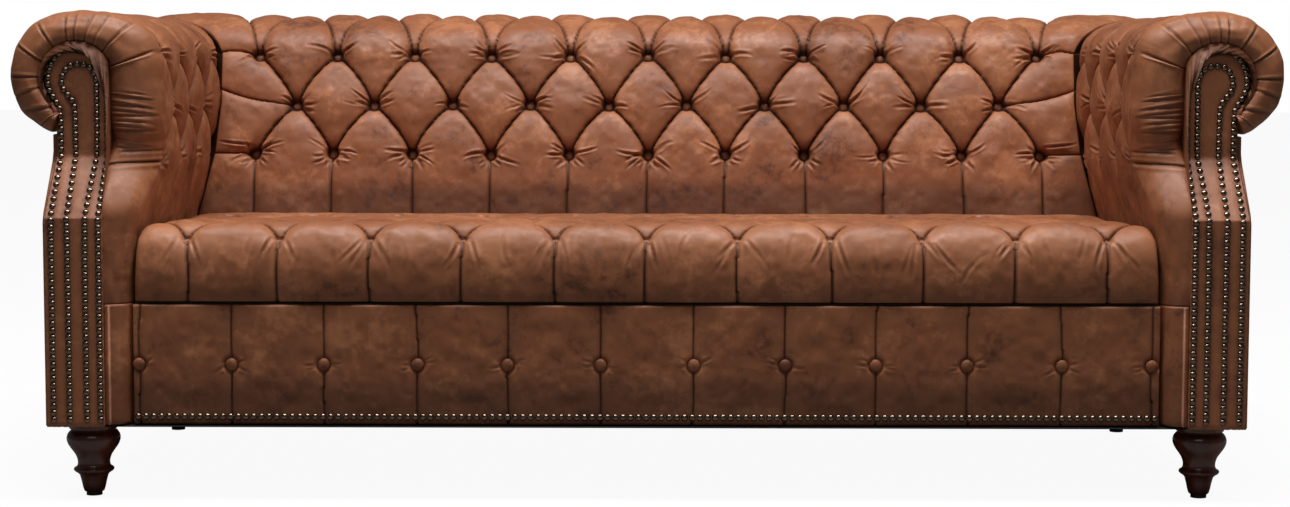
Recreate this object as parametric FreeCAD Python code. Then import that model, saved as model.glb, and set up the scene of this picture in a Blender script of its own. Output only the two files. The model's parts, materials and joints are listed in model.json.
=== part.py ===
import FreeCAD, Part

import math
import os
from collections import namedtuple

from FreeCAD import Vector

# A three-seat chesterfield sofa, in millimetres.
# +X is to the right when the sofa is seen from the front, +Y points to the rear and +Z is up.
# The origin is on the floor, under the middle of the sofa.

# Overall size
sofa_width = 2100.0
sofa_depth = 900.0
sofa_height = 800.0

# Rolled arms and back, as one roll of the same section
roll_radius = 105.0
roll_reach = 150.0
roll_squareness = 2.6
core_radius = 60.0
core_inset = 115.0
core_drop = 7.0
panel_inset = 72.0
roll_front_recess = 65.0
fit_gap = 0.5
sewing_tolerance = 0.001

# Depth of the upholstery faces, measured inwards from the outermost roll
arm_face_at_deck = 212.0
arm_face_low = 216.0
arm_face_row_3 = 245.0
arm_face_row_2 = 254.0
back_face_at_deck = 335.0
back_face_low = 330.0
back_face_row_3 = 310.0
back_face_row_2 = 285.0
back_core_at_deck = 275.0
back_core_row_3 = 250.0
back_core_row_2 = 222.0
face_low_height = 430.0

# Buttoning
row_3_drop = 148.0
row_2_drop = 54.0
row_1_angle = 164.0
row_0_angle = 40.0
under_roll_angle = -71.0
back_button_pitch = 146.0
back_button_count = 11
arm_button_pitch = 150.0
arm_button_count = 4
arm_first_button = 160.0
seat_button_pitch = 150.0
seat_button_count = 11
seat_row_pitch = 108.0
seat_row_count = 5
button_depth = 34.0
crease_depth = 14.0
pleat_depth = 12.0
seam_depth = 2.5
seat_button_depth = 26.0
crease_half_width = 4.0
button_seat_half = 12.0
button_seat_length = 10.0
edge_draw_in = 12.0
least_swell_depth = 1.5
pillow_fullness = 2.2
scallop_steps = 3
hem_depth = 81.0
hem_drop = 75.0
button_diameter = 17.0
button_thickness = 6.0
border_button_diameter = 21.0
button_sides = 6
button_lift = 2.1
border_button_lift = 2.8

# Seat
deck_height = 322.0
seat_front_height = 456.0
seat_rear_height = 436.0
seat_front_setback = 16.0
seat_front_tuck = 4.0
seat_brow_setback = 8.0
seat_brow_drop = 18.0
seat_side_gap = 2.0
seat_back_gap = 2.0
edge_roll_setback = 74.0
edge_roll_width = 32.0
edge_roll_height = 34.0
edge_roll_gap = 3.0

# Front border, facings and covered panels
facing_thickness = 10.0
facing_break_height = 462.0
facing_bend_height = 560.0
facing_setback = 80.0
facing_inner = 170.0
facing_outer_base = 76.0
facing_outer_waist = 82.0
facing_head_radius = 55.0
facing_neck_angle = 38.0
waist_drop = 67.0
post_inset = 4.0
border_setback = 20.0
border_thickness = 22.0
border_bottom = 125.0
border_pleat_depth = 9.0
corner_pad_round = 26.0
panel_thickness = 8.0

# Wooden frame
frame_base = 122.0
rail_thickness = 38.0
rail_top = 300.0
block_height = 38.0
block_width = 86.0
block_length = 94.0
post_size = 60.0
top_rail_height = 40.0
tack_rail_thickness = 25.0
tack_rail_height = 40.0
outer_rail_height = 34.0
cross_rail_spacing = 580.0
cross_rail_thickness = 30.0
cross_rail_drop = 10.0
cross_rail_height = 140.0
rib_thickness = 18.0
rib_spacing = 450.0
rib_count = 4
rib_clearance = 4.5
upper_rail_set_forward = 6.0
arm_board_thickness = 3.5

# Webbing, deck and dust cover
strap_thickness = 2.0
strap_clearance = 1.0
strap_foot = 6.0
seat_strap_width = 60.0
cross_strap_count = 3
cross_strap_pitch = 170.0
cross_strap_first = -250.0
back_strap_width = 60.0
back_strap_pitch = 110.0
back_strap_count = 15
dust_cover_thickness = 1.5
dust_cover_margin = 5.0

# Turned legs
leg_side_inset = 137.0
front_leg_y = -384.0
rear_leg_y = 325.0
glide_diameter = 26.0
glide_height = 6.0
leg_foot_radius = 18.0
leg_ankle_radius = 23.0
leg_ring_radius = 33.0
leg_neck_radius = 26.0
leg_bulb_radius = 44.0
leg_collar_radius = 39.5
leg_shoulder_radius = 38.0
leg_ankle_height = 36.0
leg_ring_height = 43.5
leg_neck_height = 52.0
leg_shoulder_height = 72.0
leg_bulb_height = 92.0
leg_collar_height = 109.0
leg_plate_size = 54.0
leg_plate_thickness = 3.0
bolt_diameter = 8.0
bolt_clearance = 0.3
bolt_reach_in_leg = 50.0
bore_end_gap = 1.0

# Places that follow from the sizes above
half_width = sofa_width / 2
half_depth = sofa_depth / 2
roll_height = sofa_height - roll_radius
core_height = roll_height - core_drop
row_3_height = roll_height - row_3_drop
row_2_height = roll_height - row_2_drop
hem_height = roll_height - hem_drop
waist_height = roll_height - waist_drop
frame_side = half_width - panel_inset - panel_thickness
frame_rear = half_depth - panel_inset - panel_thickness
frame_front = -half_depth + facing_thickness
frame_inner = frame_side - block_width
arm_core_line = facing_inner + fit_gap
border_front = -half_depth + border_setback
rail_front = border_front + border_thickness
rail_rear = frame_rear - rail_thickness
deck_half_width = half_width - arm_face_at_deck - seat_side_gap
leg_x = half_width - leg_side_inset
leg_top = frame_base - leg_plate_thickness
seat_front = -half_depth + seat_front_setback
back_front = half_depth - back_face_low
back_at_deck = half_depth - back_face_at_deck
edge_roll_top = deck_height + edge_roll_height
under_roll_height = roll_height + roll_radius * math.sin(math.radians(under_roll_angle))

Section = namedtuple("Section", "outer core start end core_start core_end turn pair valley edge")

os.makedirs("parts", exist_ok=True)


def save(name, shape):
    shape.exportStep("parts/" + name + ".step")


def save_pair(name, shape):
    """The right-hand piece is drawn and its mirror image is the left-hand one."""
    save("right_" + name, shape)
    save("left_" + name, shape.mirror(Vector(0, 0, 0), Vector(1, 0, 0)))


def save_group(name, shapes):
    save(name, Part.makeCompound(shapes))


def both_sides(shapes):
    return shapes + [s.mirror(Vector(0, 0, 0), Vector(1, 0, 0)) for s in shapes]


def block(x0, x1, y0, y1, z0, z1):
    return Part.makeBox(x1 - x0, y1 - y0, z1 - z0, Vector(x0, y0, z0))


def polygon(points):
    return Part.makePolygon(list(points) + [points[0]])


def line(a, b):
    return Part.LineSegment(a, b).toShape()


def arc(a, middle, b):
    return Part.Arc(a, middle, b).toShape()


def skin(rings):
    """A closed solid of flat facets laid from each ring of points to the next, with flat ends."""
    corners = [p for ring in rings for p in ring]
    count = len(rings[0])
    facets = []
    for i in range(len(rings) - 1):
        for j in range(count):
            a = i * count + j
            b = i * count + (j + 1) % count
            c = b + count
            d = a + count
            if corners[a].distanceToPoint(corners[c]) < corners[b].distanceToPoint(corners[d]):
                facets += [(a, b, c), (a, c, d)]
            else:
                facets += [(a, b, d), (b, c, d)]
    sides = Part.Shape()
    sides.makeShapeFromMesh(([tuple(p) for p in corners], facets), sewing_tolerance)
    ends = [Part.Face(polygon(ring)) for ring in (rings[0], rings[-1])]
    shell = Part.makeCompound(sides.Faces + ends)
    shell.sewShape()
    solid = Part.makeSolid(shell.Shells[0])
    if solid.Volume < 0:
        solid.reverse()
    return solid


def lengthwise(points_2d, x0, x1):
    """Extrude an outline drawn in Y and Z along X."""
    face = Part.Face(polygon([Vector(x0, y, z) for y, z in points_2d]))
    return face.extrude(Vector(x1 - x0, 0, 0))


def centred(count, pitch):
    """Evenly spaced places about zero."""
    return [(i - (count - 1) / 2) * pitch for i in range(count)]


# The roll: an outer half circle that flattens over the top towards its inner face


def roll_point(angle):
    """Depth from the outermost face, and height, at an angle about the roll's centre."""
    across = math.cos(math.radians(angle))
    up = math.sin(math.radians(angle))
    if across >= 0:
        return (roll_radius * (1 - across), roll_height + roll_radius * up)
    power = 2 / roll_squareness
    depth = roll_radius + roll_reach * abs(across) ** power
    return (depth, roll_height + roll_radius * abs(up) ** power)


def core_point(angle):
    """The hollow inside the roll's padding, where the timber runs."""
    across = math.cos(math.radians(angle))
    up = math.sin(math.radians(angle))
    return (core_inset - core_radius * across, core_height + core_radius * up)


def part_way(a, b, share):
    return (a[0] + (b[0] - a[0]) * share, a[1] + (b[1] - a[1]) * share)


def arm_face_depth(height):
    """Depth of the arm's inner face at a height, from the deck up to the roll."""
    steps = [
        (deck_height, arm_face_at_deck),
        (face_low_height, arm_face_low),
        (row_3_height - button_seat_length, arm_face_row_3),
        (row_3_height + button_seat_length, arm_face_row_3),
        (row_2_height - button_seat_length, arm_face_row_2),
    ]
    for (z0, d0), (z1, d1) in zip(steps, steps[1:]):
        if height <= z1:
            return d0 + (d1 - d0) * max(0.0, height - z0) / (z1 - z0)
    return arm_face_row_2


# Buttoned pads


def direction(outer, core):
    length = math.dist(outer, core)
    return ((outer[0] - core[0]) / length, (outer[1] - core[1]) / length)


def crease_places(section, first, creases, half_pitch):
    """Each crease runs to and fro across its half pitch as the diamonds widen and close."""
    step = min(max(section.turn * half_pitch, section.pair), half_pitch - section.pair)
    places = []
    for i in range(creases):
        shift = half_pitch - step if i % 2 == 0 else step
        place = first + (i - 1) * half_pitch + shift
        place = min(place, section.end - (creases - i) * section.pair)
        places.append(max(place, section.start + (i + 1) * section.pair))
    return places


def pad_section(section, first, creases, half_pitch, deepest, place):
    """One closed section: a row of scallops between creases over a straight back edge."""
    face = direction(section.outer, section.core)

    def at(along, sunk):
        a = section.outer[0] - face[0] * sunk
        b = section.outer[1] - face[1] * sunk
        return place(along, a, b)

    stops = [section.start] + crease_places(section, first, creases, half_pitch) + [section.end]
    sunk = [section.edge] + [section.valley] * creases + [section.edge]
    points = []
    for i in range(len(stops) - 1):
        width = stops[i + 1] - stops[i]
        fill = (width - 2 * button_seat_half) / (2 * half_pitch - 4 * button_seat_half)
        fill = min(max(fill, 0.0), 1.0)
        ends = (sunk[i] + sunk[i + 1]) / 2
        rise = ends - min(deepest * (1 - fill) ** pillow_fullness, ends - least_swell_depth)
        for k in range(scallop_steps):
            share = k / scallop_steps
            level = sunk[i] + (sunk[i + 1] - sunk[i]) * share
            swell = rise * (1 - abs(2 * share - 1) ** pillow_fullness)
            points.append(at(stops[i] + width * share, level - swell))
    points.append(at(stops[-1], sunk[-1]))
    points.append(place(section.core_end, *section.core))
    points.append(place(section.core_start, *section.core))
    return points


def buttoned_pad(sections, first, creases, pitch, deepest, place):
    """Two creases part at each button of the first row, from just before the first of them."""
    return skin([pad_section(s, first, creases, pitch / 2, deepest, place) for s in sections])


def add_row(sections, outer, core, spans, turn, depth):
    """A row of buttons: two sections one button seat apart."""
    face = direction(outer, core)
    along = (-face[1], face[0])
    for side in (-1, 1):
        shift = side * button_seat_length
        a = (outer[0] + along[0] * shift, outer[1] + along[1] * shift)
        b = (core[0] + along[0] * shift / 3, core[1] + along[1] * shift / 3)
        add_section(sections, a, b, spans, turn, button_seat_half, depth)


def add_section(sections, outer, core, spans, turn, pair, valley):
    """The ends are found where the drawn-in edge meets the neighbouring piece."""
    face = direction(outer, core)
    edge = min(edge_draw_in, valley)
    drawn = (outer[0] - face[0] * edge, outer[1] - face[1] * edge)
    sections.append(Section(outer, core, *spans(drawn, core), turn, pair, valley, edge))


def add_roll(sections, spans, depth):
    """From the first row of buttons over the top of the roll and down to its underside."""
    for share in (0.3, 0.5, 0.7):
        angle = row_1_angle + (row_0_angle - row_1_angle) * share
        valley = crease_depth + (depth - crease_depth) * (2 * share - 1) ** 2
        outer = roll_point(angle)
        add_section(sections, outer, core_point(angle), spans, share, button_seat_half, valley)
    add_row(sections, roll_point(row_0_angle), core_point(row_0_angle), spans, 1.0, depth)
    pleat = (1.0, crease_half_width, pleat_depth)
    for angle in (0.0, under_roll_angle / 2):
        add_section(sections, roll_point(angle), core_point(angle), spans, *pleat)
    hem = (1.0, crease_half_width, seam_depth)
    add_section(sections, roll_point(under_roll_angle), (hem_depth, hem_height), spans, *hem)


def back_spans(outer, core):
    """The back pad ends on the arms' faces, and on the mitre where the rolls meet."""
    if outer[1] < roll_point(row_1_angle)[1] - button_seat_length / 2:
        end = half_width - arm_face_depth(outer[1]) - fit_gap
        return (-end, end, -end, end)
    end = half_width - outer[0] - fit_gap
    core_end = half_width - core[0] - fit_gap
    return (-end, end, -core_end, core_end)


def back_row_places():
    row_2 = (back_face_row_2, row_2_height)
    row_3 = (back_face_row_3, row_3_height)
    core_2 = (back_core_row_2, row_2_height)
    core_3 = (back_core_row_3, row_3_height)
    return (row_2, row_3, core_point(row_1_angle), core_2, core_3)


def back_sections():
    row_1 = roll_point(row_1_angle)
    row_2, row_3, core_1, core_2, core_3 = back_row_places()
    sections = []
    deck = (back_face_at_deck, deck_height)
    low = (back_face_low, face_low_height)
    core_low = (back_core_at_deck, face_low_height)
    core_deck = (back_core_at_deck, deck_height)
    pleat = (0.0, crease_half_width, pleat_depth)
    add_section(sections, deck, core_deck, back_spans, *pleat)
    add_section(sections, low, core_low, back_spans, *pleat)
    half = (0.5, button_seat_half, crease_depth)
    add_row(sections, row_3, core_3, back_spans, 0.0, button_depth)
    add_section(sections, part_way(row_3, row_2, 0.5), part_way(core_3, core_2, 0.5), back_spans, *half)
    add_row(sections, row_2, core_2, back_spans, 1.0, button_depth)
    add_section(sections, part_way(row_2, row_1, 0.5), part_way(core_2, core_1, 0.5), back_spans, *half)
    add_row(sections, row_1, core_1, back_spans, 0.0, button_depth)
    add_roll(sections, back_spans, button_depth)
    return sections


def on_back(along, depth, height):
    return Vector(along, half_depth - depth, height)


def facing_front(height):
    """The front of the arm stands upright, leans back above the seat and stands again at the head."""
    rise = (height - facing_break_height) / (facing_bend_height - facing_break_height)
    return -half_depth + facing_setback * min(max(rise, 0.0), 1.0)


def arm_spans(outer, core):
    """The arm pad starts at the facing and ends on the mitre."""
    start = facing_front(outer[1]) + panel_thickness
    if outer[1] > facing_bend_height:
        start = -half_depth + roll_front_recess
    end = half_depth - outer[0]
    core_end = half_depth - core[0]
    return (start, end, start, core_end)


def arm_row_places():
    row_2 = (arm_face_row_2, row_2_height)
    row_3 = (arm_face_row_3, row_3_height)
    core_2 = (arm_core_line, row_2_height)
    core_3 = (arm_core_line, row_3_height)
    return (row_2, row_3, core_point(row_1_angle), core_2, core_3)


def arm_sections():
    row_1 = roll_point(row_1_angle)
    row_2, row_3, core_1, core_2, core_3 = arm_row_places()
    sections = []
    deck = (arm_face_at_deck, deck_height)
    low = (arm_face_low, face_low_height)
    core_low = (arm_core_line, face_low_height)
    core_deck = (arm_core_line, deck_height)
    pleat = (0.0, crease_half_width, pleat_depth)
    add_section(sections, deck, core_deck, arm_spans, *pleat)
    add_section(sections, low, core_low, arm_spans, *pleat)
    half = (0.5, button_seat_half, crease_depth)
    add_row(sections, row_3, core_3, arm_spans, 0.0, button_depth)
    add_section(sections, part_way(row_3, row_2, 0.5), part_way(core_3, core_2, 0.5), arm_spans, *half)
    add_row(sections, row_2, core_2, arm_spans, 1.0, button_depth)
    add_section(sections, part_way(row_2, row_1, 0.5), part_way(core_2, core_1, 0.5), arm_spans, *half)
    add_row(sections, row_1, core_1, arm_spans, 0.0, button_depth)
    add_roll(sections, arm_spans, button_depth)
    return sections


def on_right_arm(along, depth, height):
    return Vector(half_width - depth, along, height)


def seat_spans(outer, core):
    """The seat narrows a little as the arms lean in above the deck."""
    end = half_width - arm_face_depth(outer[1]) - seat_side_gap
    return (-end, end, -deck_half_width, deck_half_width)


def seat_point(behind_front, height):
    """A place in the seat's own section, as depth from the rear and height."""
    return (half_depth - seat_front - behind_front, height)


def seat_surface(behind_front):
    """The seat's top falls slightly towards the back."""
    reach = back_front - seat_front
    drop = seat_front_height - seat_rear_height
    return seat_point(behind_front, seat_front_height - drop * behind_front / reach)


def seat_rows():
    """The front row sits on the rounded front edge and the others lie on the top."""
    brow = seat_point(seat_brow_setback, seat_front_height - seat_brow_drop)
    rows = [(brow, seat_point(*edge_roll_outline(edge_roll_gap)[2]))]
    for i in range(1, seat_row_count):
        outer = seat_surface(seat_brow_setback + i * seat_row_pitch)
        rows.append((outer, (outer[0], deck_height + fit_gap)))
    return rows


def edge_roll_outline(gap=0.0):
    """The firm roll along the front edge: distance behind the seat's front, and height."""
    near = edge_roll_setback - gap
    far = edge_roll_setback + edge_roll_width + gap
    flat = edge_roll_width * 0.3 - gap
    shoulder = deck_height + edge_roll_height * 0.4 + gap
    top = edge_roll_top + gap
    return [
        (near, deck_height),
        (near, shoulder),
        (near + flat, top),
        (far - flat, top),
        (far, shoulder),
        (far, deck_height),
    ]


def seat_sections():
    rows = seat_rows()
    sections = []
    base = deck_height + fit_gap
    foot, near, crown_near, crown_far, far = edge_roll_outline(edge_roll_gap)[:5]
    pleat = (0.0, crease_half_width, pleat_depth)
    seam = seat_point(seat_front_tuck, base)
    add_section(sections, seam, seat_point(foot[0], base), seat_spans, *pleat)
    for share in (0.38, 0.7):
        outer = seat_point(0.0, deck_height + (seat_front_height - deck_height) * share)
        core = seat_point(near[0], deck_height + (near[1] - deck_height) * share)
        add_section(sections, outer, core, seat_spans, *pleat)
    add_row(sections, *rows[0], seat_spans, 0.0, seat_button_depth)
    for share, core in ((0.34, crown_far), (0.66, far)):
        crest = (share, button_seat_half, crease_depth)
        outer = seat_surface(seat_brow_setback + seat_row_pitch * share)
        add_section(sections, outer, seat_point(*core), seat_spans, *crest)
    half = (0.5, button_seat_half, crease_depth)
    for i in range(1, seat_row_count):
        if i > 1:
            middle = part_way(rows[i - 1][0], rows[i][0], 0.5)
            add_section(sections, middle, (middle[0], base), seat_spans, *half)
        add_row(sections, *rows[i], seat_spans, i % 2, seat_button_depth)
    rear = (half_depth - back_front + seat_back_gap, seat_rear_height)
    core = (half_depth - back_at_deck + seat_back_gap, base)
    turn = (seat_row_count - 1) % 2
    add_section(sections, rear, core, seat_spans, turn, crease_half_width, pleat_depth)
    return sections


def first_button(count, pitch):
    return -(count - 1) / 2 * pitch


def button(place, along, outer, core, sunk, diameter):
    """A leather-covered button, with its rim down in the dimple."""
    face = direction(outer, core)
    rings = []
    for radius, level in ((diameter / 2, sunk), (diameter / 3, sunk - button_thickness)):
        ring = []
        for k in range(button_sides):
            angle = 2 * math.pi * k / button_sides
            up = radius * math.sin(angle)
            a = outer[0] - face[0] * level - face[1] * up
            b = outer[1] - face[1] * level + face[0] * up
            ring.append(place(along + radius * math.cos(angle), a, b))
        rings.append(ring)
    return skin(rings)


def button_row(place, row, first, count, pitch, depth, limit):
    outer, core = row
    sunk = depth - button_lift
    places = [first + i * pitch for i in range(count)]
    return [button(place, x, outer, core, sunk, button_diameter) for x in places if x < limit]


# Inside back

back_pad = buttoned_pad(
    back_sections(),
    first_button(back_button_count, back_button_pitch),
    2 * back_button_count,
    back_button_pitch,
    button_depth,
    on_back,
)
save("inside_back_pad", back_pad)


def roll_rows(row_2, row_3, core_1, core_2, core_3):
    """The four rows of buttons, from the lowest to the one behind the top of the roll."""
    row_0 = (roll_point(row_0_angle), core_point(row_0_angle))
    row_1 = (roll_point(row_1_angle), core_1)
    return [(row_3, core_3), (row_2, core_2), row_1, row_0]


def full_and_half_rows(place, rows, first, count, pitch, limits):
    """Every other row is shifted by half a pitch, with its buttons between its neighbours'."""
    buttons = []
    for i, (row, limit) in enumerate(zip(rows, limits)):
        shift = pitch / 2 if i % 2 else 0.0
        buttons += button_row(place, row, first + shift, count, pitch, button_depth, limit)
    return buttons


back_rows = roll_rows(*back_row_places())
back_buttons = full_and_half_rows(
    on_back,
    back_rows,
    first_button(back_button_count, back_button_pitch),
    back_button_count,
    back_button_pitch,
    [half_width - arm_face_row_2 - back_button_pitch / 3] * 4,
)
save_group("inside_back_buttons", back_buttons)

# Rolled arms

arm_first_place = -half_depth + arm_first_button
arm_pad = buttoned_pad(
    arm_sections(),
    arm_first_place,
    2 * arm_button_count + 1,
    arm_button_pitch,
    button_depth,
    on_right_arm,
)
save_pair("arm_pad", arm_pad)
arm_rows = roll_rows(*arm_row_places())
arm_limits = [half_depth - outer[0] - button_diameter for outer, core in arm_rows]
arm_buttons = full_and_half_rows(
    on_right_arm, arm_rows, arm_first_place, arm_button_count, arm_button_pitch, arm_limits
)
save_pair("arm_buttons", Part.makeCompound(arm_buttons))

# Bench seat

seat_first = first_button(seat_button_count, seat_button_pitch)
seat_pad = buttoned_pad(
    seat_sections(),
    seat_first,
    2 * seat_button_count,
    seat_button_pitch,
    seat_button_depth,
    on_back,
)
save("seat_pad", seat_pad)
seat_buttons = []
for i, row in enumerate(seat_rows()):
    shift = seat_button_pitch / 2 if i % 2 else 0.0
    places = (seat_first + shift, seat_button_count - i % 2, seat_button_pitch)
    seat_buttons += button_row(on_back, row, *places, seat_button_depth, deck_half_width)
save_group("seat_buttons", seat_buttons)
edge_roll = [(seat_front + behind, height) for behind, height in edge_roll_outline()]
save("seat_edge_roll", lengthwise(edge_roll, -deck_half_width, deck_half_width))

# Front border: upright pleats between shallow swells


def border_outline(z):
    """The border seen from above."""
    pleats = centred(seat_button_count + 1, seat_button_pitch)
    stops = [-deck_half_width] + pleats + [deck_half_width]
    valley = border_front + border_pleat_depth
    edges = []
    for a, b in zip(stops, stops[1:]):
        rise = border_pleat_depth * (b - a) / seat_button_pitch
        middle = Vector((a + b) / 2, valley - rise, z)
        edges.append(arc(Vector(a, valley, z), middle, Vector(b, valley, z)))
    corners = [
        Vector(deck_half_width, valley, z),
        Vector(deck_half_width, rail_front, z),
        Vector(-deck_half_width, rail_front, z),
        Vector(-deck_half_width, valley, z),
    ]
    edges += [line(a, b) for a, b in zip(corners, corners[1:])]
    return Part.Wire(edges)


border = Part.Face(border_outline(border_bottom))
border_height = deck_height - border_bottom - seat_side_gap
save("front_border_pad", border.extrude(Vector(0, 0, border_height)))


def on_border(along, forward, height):
    return Vector(along, border_front - forward, height)


border_middle = border_bottom + border_height / 2
border_places = centred(seat_button_count + 1, seat_button_pitch)
seated = border_pleat_depth - border_button_lift
border_row = ((0.0, border_middle), (-border_thickness, border_middle))
border_buttons = [
    button(on_border, x, *border_row, seated, border_button_diameter) for x in border_places
]
save_group("border_buttons", border_buttons)

# The leather wraps round an upright corner from the border to each facing
corner_inner = half_width - arm_face_at_deck
corner_outer = half_width - facing_inner - fit_gap
corner_front = -half_depth + panel_thickness
corner_start = Vector(corner_inner, corner_front + corner_pad_round, border_bottom)
corner_end = Vector(corner_inner + corner_pad_round, corner_front, border_bottom)
corner_turn = corner_pad_round * (1 - math.sqrt(0.5))
corner_middle = Vector(corner_inner + corner_turn, corner_front + corner_turn, border_bottom)
corner_points = [
    corner_end,
    Vector(corner_outer, corner_front, border_bottom),
    Vector(corner_outer, rail_front, border_bottom),
    Vector(corner_inner, rail_front, border_bottom),
    corner_start,
]
corner_edges = [line(a, b) for a, b in zip(corner_points, corner_points[1:])]
corner_edges.append(arc(corner_start, corner_middle, corner_end))
corner_pad = Part.Face(Part.Wire(corner_edges)).extrude(Vector(0, 0, border_height))
save_pair("arm_corner_pad", corner_pad)

# Scroll-headed facings and the posts behind them


def head_edges(place, radius, waist_depth, base_depth, base_height, inner_base):
    """Outline of the scroll head and its column, in depth and height."""

    def on_head(angle):
        across = math.cos(math.radians(angle))
        up = math.sin(math.radians(angle))
        return (core_inset - radius * across, core_height + radius * up)

    neck = on_head(-facing_neck_angle)
    waist = (waist_depth, waist_height)
    bulge = math.tan(math.radians(facing_neck_angle / 4)) / 2
    middle = part_way(neck, waist, 0.5)
    middle = (
        middle[0] + (neck[1] - waist[1]) * bulge,
        middle[1] + (waist[0] - neck[0]) * bulge,
    )
    quarters = [on_head(a) for a in (180, 135, 90, 45, 0, -facing_neck_angle / 2)] + [neck]
    edges = []
    for i in (0, 2, 4):
        edges.append(arc(*[place(*p) for p in quarters[i : i + 3]]))
    edges.append(arc(place(*neck), place(*middle), place(*waist)))
    corners = [waist, (base_depth, facing_break_height), (base_depth, base_height)]
    corners += inner_base + [quarters[0]]
    edges += [line(place(*a), place(*b)) for a, b in zip(corners, corners[1:])]
    return edges


def front_band(near, far):
    """The bent sheet that the facing and the post are cut from, seen from the side."""
    levels = [0.0, facing_break_height, facing_bend_height, sofa_height]
    front = [(facing_front(z) + near, z) for z in levels]
    rear = [(facing_front(z) + far, z) for z in reversed(levels)]
    return lengthwise(front + rear, 0.0, half_width)


def scroll_board(inset, base_height, near, far):
    """A board with the scroll outline, bent to the line of the arm's front."""

    def place(depth, height):
        return Vector(half_width - depth, -half_depth, height)

    inner = facing_inner - inset
    edges = head_edges(
        place,
        facing_head_radius - inset,
        facing_outer_waist + inset,
        facing_outer_base + inset,
        base_height,
        [(inner, base_height)],
    )
    face = Part.Face(Part.Wire(edges))
    return face.extrude(Vector(0, half_depth, 0)).common(front_band(near, far))


save_pair("arm_facing", scroll_board(0.0, frame_base, 0.0, facing_thickness))
post_top_of_block = frame_base + block_height
post_rear = facing_thickness + rail_thickness
front_post = scroll_board(post_inset, post_top_of_block, facing_thickness, post_rear)
save_pair("arm_front_post", front_post)

# Base frame

block_inner = frame_inner
front_block = block(
    block_inner, frame_side, frame_front, frame_front + block_length, frame_base, post_top_of_block
)
rear_block = block(
    block_inner, frame_side, frame_rear - block_length, frame_rear, frame_base, post_top_of_block
)
save_group("leg_blocks", both_sides([front_block, rear_block]))

front_rail = block(
    -block_inner, block_inner, rail_front, rail_front + rail_thickness, frame_base, rail_top
)
save("front_seat_rail", front_rail)
rear_rail = block(-block_inner, block_inner, rail_rear, frame_rear, frame_base, rail_top)
save("rear_seat_rail", rear_rail)

post_centre_x = half_width - core_inset
post_centre_y = half_depth - core_inset
post_half = post_size / 2
rear_post_front = post_centre_y - post_half
front_post_rear = -half_depth + post_rear
side_rail = block(
    frame_side - rail_thickness,
    frame_side,
    front_post_rear,
    rear_post_front,
    frame_base,
    rail_top + strap_thickness,
)
save_pair("side_seat_rail", side_rail.cut(front_block).cut(rear_block))

for side, name in ((-1, "left"), (1, "right")):
    x = side * cross_rail_spacing / 2
    half = cross_rail_thickness / 2
    top = rail_top - cross_rail_drop
    rail = block(
        x - half, x + half, rail_front + rail_thickness, rail_rear, top - cross_rail_height, top
    )
    save(name + "_seat_cross_rail", rail)

# Arm frames

rear_post = block(
    post_centre_x - post_half,
    post_centre_x + post_half,
    rear_post_front,
    post_centre_y + post_half,
    post_top_of_block,
    core_height + top_rail_height / 2,
)
save_pair("arm_rear_post", rear_post)
rail_half = top_rail_height / 2
head_rear = facing_front(sofa_height) + post_rear
arm_top_rail = block(
    post_centre_x - post_half,
    post_centre_x + post_half,
    head_rear,
    rear_post_front,
    core_height - rail_half,
    core_height + rail_half,
)
save_pair("arm_top_rail", arm_top_rail)
arm_tack_rail = block(
    frame_inner,
    frame_inner + tack_rail_thickness,
    front_post_rear,
    rear_post_front,
    deck_height,
    deck_height + tack_rail_height,
)
save_pair("arm_tack_rail", arm_tack_rail)
outer_rail_top = under_roll_height - fit_gap
outer_rail_base = outer_rail_top - outer_rail_height
arm_outer_rail = block(
    frame_side - tack_rail_thickness,
    frame_side,
    head_rear,
    rear_post_front,
    outer_rail_base,
    outer_rail_top,
)
save_pair("arm_outer_rail", arm_outer_rail)
arm_board = [
    (front_post_rear - rail_thickness, deck_height),
    (front_post_rear - rail_thickness, facing_break_height),
    (head_rear - rail_thickness, facing_bend_height),
    (head_rear - rail_thickness, row_2_height),
    (half_depth - back_face_row_2, row_2_height),
    (half_depth - back_face_row_2, deck_height),
]
save_pair("arm_board", lengthwise(arm_board, frame_inner - arm_board_thickness, frame_inner))

# Outside panels

panel_top = under_roll_height - fit_gap
panel_front = facing_front(frame_base) + facing_thickness
panel_front_above = facing_front(sofa_height) + facing_thickness
outside_arm = [
    (panel_front, frame_base),
    (panel_front, facing_break_height),
    (panel_front_above, facing_bend_height),
    (panel_front_above, panel_top),
    (frame_rear + panel_thickness, panel_top),
    (frame_rear + panel_thickness, frame_base),
]
save_pair("outside_arm_panel", lengthwise(outside_arm, frame_side, frame_side + panel_thickness))
outside_back = block(
    -frame_side, frame_side, frame_rear, frame_rear + panel_thickness, frame_base, panel_top
)
save("outside_back_panel", outside_back)

# Back frame: scroll-headed ribs notched round the long rails

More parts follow.
